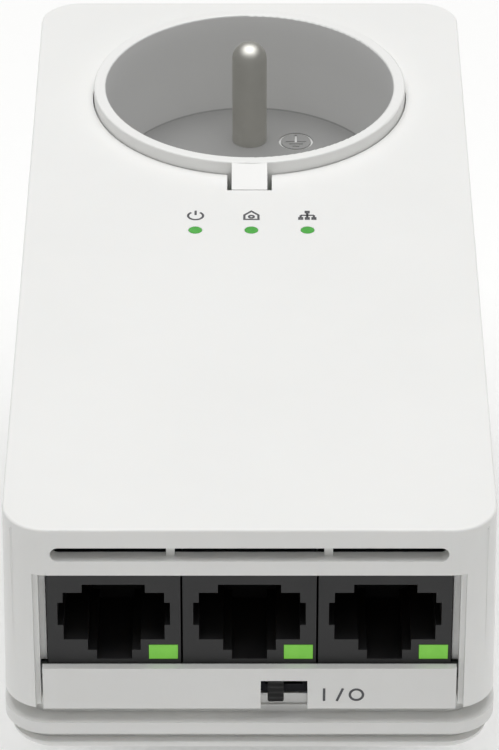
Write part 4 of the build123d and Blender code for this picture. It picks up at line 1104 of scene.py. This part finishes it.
@dataclass
class CrossScrews(Assembly):
    """Pan-head forming screws of one size, all driven along Z.

    Attributes:
        node: the CAD node that they stand for.
        head_mm: radius of the head.
        shank_mm: radius over the thread.
        rise_mm: height of the head.
        points_up: whether the point is above the head.
        pitch_mm: rise of the thread in one turn.
        thread_mm: depth of the thread.
        point_share: length of the point, as a share of the shank's radius.
        tip_share: the tip's radius, as a share of the shank's.
        rim_share: height of the head's upright rim, as a share of the head's.
        foot_share: the head's radius under the rim, as a share of its own.
        rib_share: half width of the cross's arms, as a share of the head's radius.
        arm_share: reach of the arms, as a share of the head's radius.
        cross_share: depth of the cross, as a share of the head's height.
        around: points in each loop.
        per_pitch: loops along one turn of the thread.
        crown_loops: loops over the head.
        smooth_deg: edges flatter than this are shaded smooth.
    """

    node: str
    head_mm: float = 1.9
    shank_mm: float = 0.95
    rise_mm: float = 1.4
    points_up: bool = True
    pitch_mm: float = 0.8
    thread_mm: float = 0.22
    point_share: float = 1.6
    tip_share: float = 0.08
    rim_share: float = 0.3
    foot_share: float = 0.96
    rib_share: float = 0.13
    arm_share: float = 0.58
    cross_share: float = 0.55
    around: int = 40
    per_pitch: int = 9
    crown_loops: int = 25
    smooth_deg: float = 40.0

    def build(self) -> None:
        """Turns one screw and sets it down at every place that the CAD node gives."""
        low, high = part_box(self.node)
        head = self.head_mm * MM
        columns = sorted({round(x, 6) for x in (low.x + head, high.x - head)})
        rows = sorted({round(y, 6) for y in (low.y + head, high.y - head)})
        loops = self.screw((high.z - low.z) / MM - self.rise_mm)
        if not self.points_up:
            loops = loops * np.array([1, 1, -1])
        start = low.z if self.points_up else high.z
        shells = [shell(loops * MM + np.array([x, y, start])) for x in columns for y in rows]
        name = f"threaded_{self.node}"
        made = piece(name, shells, ZINC_STEEL, HOUSING_BODY, self.smooth_deg)
        self.keep(made, "screw_steel", self.node)

    def screw(self, length: float) -> np.ndarray:
        """One screw standing on its head, in millimetres, the head's top at height 0.

        The shank's radius at height z and angle t is the core's radius plus the thread's depth
        times a triangle wave of t / 2 pi - z / pitch, and both shrink in a straight line over the
        point. The head is half an ellipse on an upright rim. Inside the cross, where the lesser
        coordinate is under the arms' half width and the greater one under their reach, the top is
        cut away to a floor that rises over a quarter of the width and a third of the reach.

        Args:
            length: of the shank, in millimetres.

        Returns:
            Points as (loops, around, 3).
        """
        turn = np.linspace(0, 2 * np.pi, self.around, endpoint=False)[None, :]
        loops = max(12, int(length / self.pitch_mm * self.per_pitch))
        tall = np.linspace(length, 0, loops)[:, None]
        taper = np.clip((length - tall) / (self.point_share * self.shank_mm), self.tip_share, 1)
        wave = np.abs(2 * ((turn / (2 * np.pi) - tall / self.pitch_mm) % 1) - 1)
        shank = taper * (self.shank_mm - self.thread_mm + self.thread_mm * wave)
        tilt = np.linspace(0, np.pi / 2, self.crown_loops + 1)[:-1, None]
        head = np.vstack([[[self.foot_share]], np.cos(tilt)]) * self.head_mm
        radius = np.vstack([shank, np.repeat(head, self.around, axis=1)])
        crown = self.rise_mm * (self.rim_share + (1 - self.rim_share) * np.sin(tilt))
        height = np.vstack([self.rise_mm + tall, [[self.rise_mm]], self.rise_mm - crown])
        flat = radius[..., None] * np.stack([np.cos(turn), np.sin(turn)], axis=-1)
        near, far = np.sort(np.abs(flat), axis=-1)[..., 0], np.abs(flat).max(-1)
        rib, arm = self.head_mm * self.rib_share, self.head_mm * self.arm_share
        across = np.clip((rib - near) / (0.25 * rib) + 1, 0, 1)
        along = np.clip((arm - far) / (0.3 * arm), 0, 1)
        on_top = np.arange(len(radius))[:, None] > len(tall)
        height = height + np.where(on_top, self.cross_share * self.rise_mm * across * along, 0)
        return np.concatenate([flat, height[..., None]], axis=-1)


@dataclass
class PrintedMarks(Assembly):
    """Plain pad-printed signs: power, home and network over the lights, on and off by the switch.

    Attributes:
        ink_mm: thickness of the ink that stands proud.
        line_mm: width of a line.
        root_mm: how far the ink's mesh reaches into the plastic.
        size_mm: half the height of a sign over a light.
        above_mm: from a light's middle to its sign's middle.
        switch_size_mm: half the height of the signs by the switch.
        beside_mm: from the switch's right end to the middle of the signs.
        below_mm: from the switch's middle down to the middle of the signs.
    """

    ink_mm: float = 0.02
    root_mm: float = 0.05
    line_mm: float = 0.3
    size_mm: float = 1.15
    above_mm: float = 3.7
    switch_size_mm: float = 1.05
    beside_mm: float = 2.5
    below_mm: float = 0.4

    def build(self) -> None:
        """Prints a sign over each light and three beside the switch."""
        low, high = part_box("light_guide")
        cover_low, cover_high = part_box("front_cover")
        middle_y = (low.y + high.y) / 2
        radius = (high.y - low.y) / 2
        xs = np.linspace(low.x + radius, high.x - radius, 3)
        signs = {
            "power_sign": self.power(), "home_sign": self.home(), "network_sign": self.network(),
        }
        for x, (name, strokes) in zip(xs, signs.items()):
            middle = (x, middle_y + self.above_mm * MM, cover_high.z)
            self.press(name, Face(middle, X_AXIS, Y_AXIS), strokes, self.size_mm)
        switch_low, switch_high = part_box("switch_frame")
        middle_z = (switch_low.z + switch_high.z) / 2 - self.below_mm * MM
        middle = (switch_high.x + self.beside_mm * MM, cover_low.y, middle_z)
        front = Face(middle, X_AXIS, Z_AXIS)
        self.press("switch_signs", front, self.on_and_off(), self.switch_size_mm)

    def press(self, name: str, face: Face, strokes: Sequence[tuple], size_mm: float) -> None:
        """Lays one sign's strokes on a face.

        Args:
            name: the piece's name.
            face: where it goes.
            strokes: (points in half heights, whether the stroke closes on itself).
            size_mm: half the sign's height.
        """
        shells = [
            self.stroke(face, np.asarray(path, float) * size_mm * MM, closed)
            for path, closed in strokes
        ]
        self.keep(piece(name, shells, PRINTED_INK, HOUSING_BODY), "cover_plastic")

    def stroke(self, face: Face, path: np.ndarray, closed: bool) -> Solid:
        """One line of ink: the path widened to both sides, with mitred corners.

        At each point the sides lie half a line's width from the path, along the mean of the normals
        of the two legs that meet there, divided by the cosine of half the turn.

        Args:
            face: where it goes.
            path: points as (n, 2), in metres on the face.
            closed: whether the last point joins the first.

        Returns:
            Points and faces of the closed line.
        """
        legs = np.roll(path, -1, axis=0) - path
        legs /= np.linalg.norm(legs, axis=1, keepdims=True)
        before = np.roll(legs, 1, axis=0)
        if not closed:
            before[0] = legs[0]
            legs[-1] = before[-1]
        normal = np.stack([-(legs + before)[:, 1], (legs + before)[:, 0]], axis=-1)
        normal /= (normal * np.stack([-legs[:, 1], legs[:, 0]], axis=-1)).sum(1, keepdims=True)
        half = self.line_mm * MM / 2
        left, right = path + half * normal, path - half * normal
        flat = np.stack([left, right, right, left], axis=1)
        deep, proud = -self.root_mm * MM, self.ink_mm * MM
        heights = np.broadcast_to(np.array([deep, deep, proud, proud]), flat.shape[:2])
        return shell(face.place(flat, heights), closed)

    def power(self) -> list[tuple]:
        """Draws a ring open at the top, with a bar in the gap.

        Returns:
            Strokes, as press takes them.
        """
        return [(arc((0, -0.1), 0.85, 125, 415, 40), False), ([(0, 0.05), (0, 1.0)], False)]

    def home(self) -> list[tuple]:
        """Draws a plain house outline with a small ring inside.

        Returns:
            Strokes, as press takes them.
        """
        walls = [(-0.8, -0.9), (0.8, -0.9), (0.8, 0.05), (0, 0.9), (-0.8, 0.05)]
        return [(walls, True), (arc((0, -0.3), 0.27, 0, 345, 24), True)]

    def network(self) -> list[tuple]:
        """Draws four small frames joined by a tree of lines.

        Returns:
            Strokes, as press takes them.
        """
        box = np.array([(-0.16, -0.16), (0.16, -0.16), (0.16, 0.16), (-0.16, 0.16)])
        places = np.array([(0, 0.7), (-0.75, -0.7), (0, -0.7), (0.75, -0.7)])
        frames = [(box + place, True) for place in places]
        rail = [([(-0.75, 0), (0.75, 0)], False), ([(0, 0.45), (0, 0)], False)]
        drops = [([(x, 0.0), (x, -0.45)], False) for x in places[1:, 0]]
        return frames + rail + drops

    def on_and_off(self) -> list[tuple]:
        """Draws a bar for on, a slash, and a ring for off.

        Returns:
            Strokes, as press takes them.
        """
        return [
            ([(-1.9, -0.9), (-1.9, 0.9)], False),
            ([(-0.45, -0.9), (0.25, 0.9)], False),
            (arc((1.8, 0), 0.75, 0, 350, 36), True),
        ]


@dataclass(frozen=True)
class Lamp:
    """One square soft light.

    Attributes:
        name: the light's name.
        place: where it hangs, in metres.
        turn: its rotation, in radians.
        side_m: length of its sides.
        watts: its power.
    """

    name: str
    place: Point
    turn: Point
    side_m: float
    watts: float

    def hang(self) -> None:
        """Puts the light into the scene."""
        light = bpy.data.lights.new(self.name, "AREA")
        light.shape = "SQUARE"
        light.size = self.side_m
        light.energy = self.watts
        holder = bpy.data.objects.new(self.name, light)
        holder.location = self.place
        holder.rotation_euler = self.turn
        bpy.context.scene.collection.objects.link(holder)


@dataclass
class Studio:
    """Pale floor, soft light from above, and the camera.

    Attributes:
        floor_m: radius of the floor.
        floor_points: points of its rim.
        paper: colour of the floor, sRGB hex.
        paper_glow: strength of the floor's own light.
        fibres: fibres of the paper in a metre.
        fibre_m: depth of the paper's relief.
        camera_place: where the camera stands, in metres.
        camera_tilt_deg: how far the camera is turned up from looking straight down.
        lens_mm: focal length.
        film_mm: width of the camera's frame.
        near_m: nearest distance that the camera sees.
        far_m: farthest distance that it sees.
        lamps: the lights.
        room: the room's colours, each with the height of its direction from 0 to 1.
    """

    floor_m: float = 4.0
    floor_points: int = 64
    paper: str = "#ebebea"
    paper_glow: float = 0.16
    fibres: float = 900.0
    fibre_m: float = 0.00002
    camera_place: Point = (0.0, -0.5227, 0.3455)
    camera_tilt_deg: float = 56.86
    lens_mm: float = 210.3
    film_mm: float = 36.0
    near_m: float = 0.01
    far_m: float = 50.0
    lamps: tuple[Lamp, ...] = (
        Lamp("Soft_top_light", (0.0, 0.05, 0.9), (0.0, 0.0, 0.0), 0.9, 5.6),
        Lamp("Soft_front_light", (0.15, -1.2, 0.7), (math.radians(62), 0.0, 0.12), 0.5, 0.05),
    )
    room: tuple[tuple[float, str], ...] = (
        (0.08, "#f4f4f3"), (0.12, "#202020"), (0.5, "#5a5a5a"), (1.0, "#ffffff"),
    )

    def build(self) -> None:
        """Sets up everything that isn't the object."""
        self.lay_floor()
        self.light_room()
        for lamp in self.lamps:
            lamp.hang()
        self.place_camera()
        bpy.context.scene.view_settings.view_transform = "Standard"

    def lay_floor(self) -> None:
        """A round sheet at the object's lowest point, seen through from beneath."""
        level = cad_box[0][2]
        rim = circle(self.floor_points) * self.floor_m
        mesh = bpy.data.meshes.new("Studio_floor")
        points = np.column_stack([rim, np.full(len(rim), level)])
        mesh.from_pydata(points.tolist(), [], [list(range(len(rim)))])
        mesh.materials.append(self.floor_paper())
        floor = bpy.data.objects.new("Studio_floor", mesh)
        bpy.context.scene.collection.objects.link(floor)

    def floor_paper(self) -> bpy.types.Material:
        """Mixes white paper: matt, with a faint fibre, a little brighter than the light makes it.

        Returns:
            The material, which can't be seen from beneath.
        """
        made = bpy.data.materials.new("White_paper")
        made.use_nodes = True
        tree = made.node_tree
        tree.nodes.clear()
        place = add(tree, "ShaderNodeTexCoord").outputs["Object"]
        fibre = add(
            tree, "ShaderNodeTexNoise", {"Scale": self.fibres, "Detail": 2.0}, {"Vector": place}
        )
        bump = add(
            tree, "ShaderNodeBump", {"Distance": self.fibre_m}, {"Height": fibre.outputs["Fac"]}
        )
        paper = add(
            tree, "ShaderNodeBsdfPrincipled",
            {"Base Color": linear(self.paper), "Roughness": 0.9, "Specular IOR Level": 0.2,
             "Emission Color": linear("#ffffff"), "Emission Strength": self.paper_glow},
            {"Normal": bump.outputs["Normal"]},
        )
        clear = add(tree, "ShaderNodeBsdfTransparent")
        beneath = add(tree, "ShaderNodeNewGeometry").outputs["Backfacing"]
        mix = add(
            tree, "ShaderNodeMixShader",
            links={0: beneath, 1: paper.outputs["BSDF"], 2: clear.outputs["BSDF"]},
        )
        add(tree, "ShaderNodeOutputMaterial", links={"Surface": mix.outputs["Shader"]})
        return made

    def light_room(self) -> None:
        """A white room: bright at the floor's edge and overhead, darker in between."""
        world = bpy.data.worlds.new("White_room")
        bpy.context.scene.world = world
        world.use_nodes = True
        tree = world.node_tree
        tree.nodes.clear()
        place = add(tree, "ShaderNodeTexCoord").outputs["Generated"]
        tall = add(tree, "ShaderNodeSeparateXYZ", links={"Vector": place}).outputs["Z"]
        ramp = add(tree, "ShaderNodeValToRGB", links={"Fac": tall})
        set_stops(ramp.color_ramp, self.room)
        shade = add(
            tree, "ShaderNodeBackground", {"Strength": 1.0}, {"Color": ramp.outputs["Color"]}
        )
        add(tree, "ShaderNodeOutputWorld", links={"Surface": shade.outputs["Background"]})

    def place_camera(self) -> None:
        """Stands the camera in front of the ports, looking down at them."""
        lens = bpy.data.cameras.new("Camera")
        lens.lens = self.lens_mm
        lens.sensor_width = self.film_mm
        lens.clip_start = self.near_m
        lens.clip_end = self.far_m
        holder = bpy.data.objects.new("Camera", lens)
        holder.location = self.camera_place
        holder.rotation_euler = (math.radians(self.camera_tilt_deg), 0, 0)
        bpy.context.scene.collection.objects.link(holder)
        bpy.context.scene.camera = holder


def main() -> None:
    """Builds, dresses and reports every sub-assembly, then sets up the studio."""
    logging.basicConfig(level=logging.INFO, format="%(message)s")
    assemblies: tuple[Assembly, ...] = (
        Housing(),
        Outlet(),
        Plug(),
        NetworkPorts(),
        PowerSwitch(),
        Indicators(),
        BoardAndParts(),
        CrossScrews("housing_screws", head_mm=2.3, shank_mm=1.1, rise_mm=1.6, pitch_mm=0.9),
        CrossScrews("outlet_screws"),
        CrossScrews("contact_block_screws"),
        CrossScrews("plug_screws", points_up=False),
        CrossScrews("board_screws", points_up=False),
        PrintedMarks(),
    )
    for assembly in assemblies:
        assembly.build()
        assembly.dress()
        assembly.report()
    Studio().build()


if __name__ == "__main__":
    main()
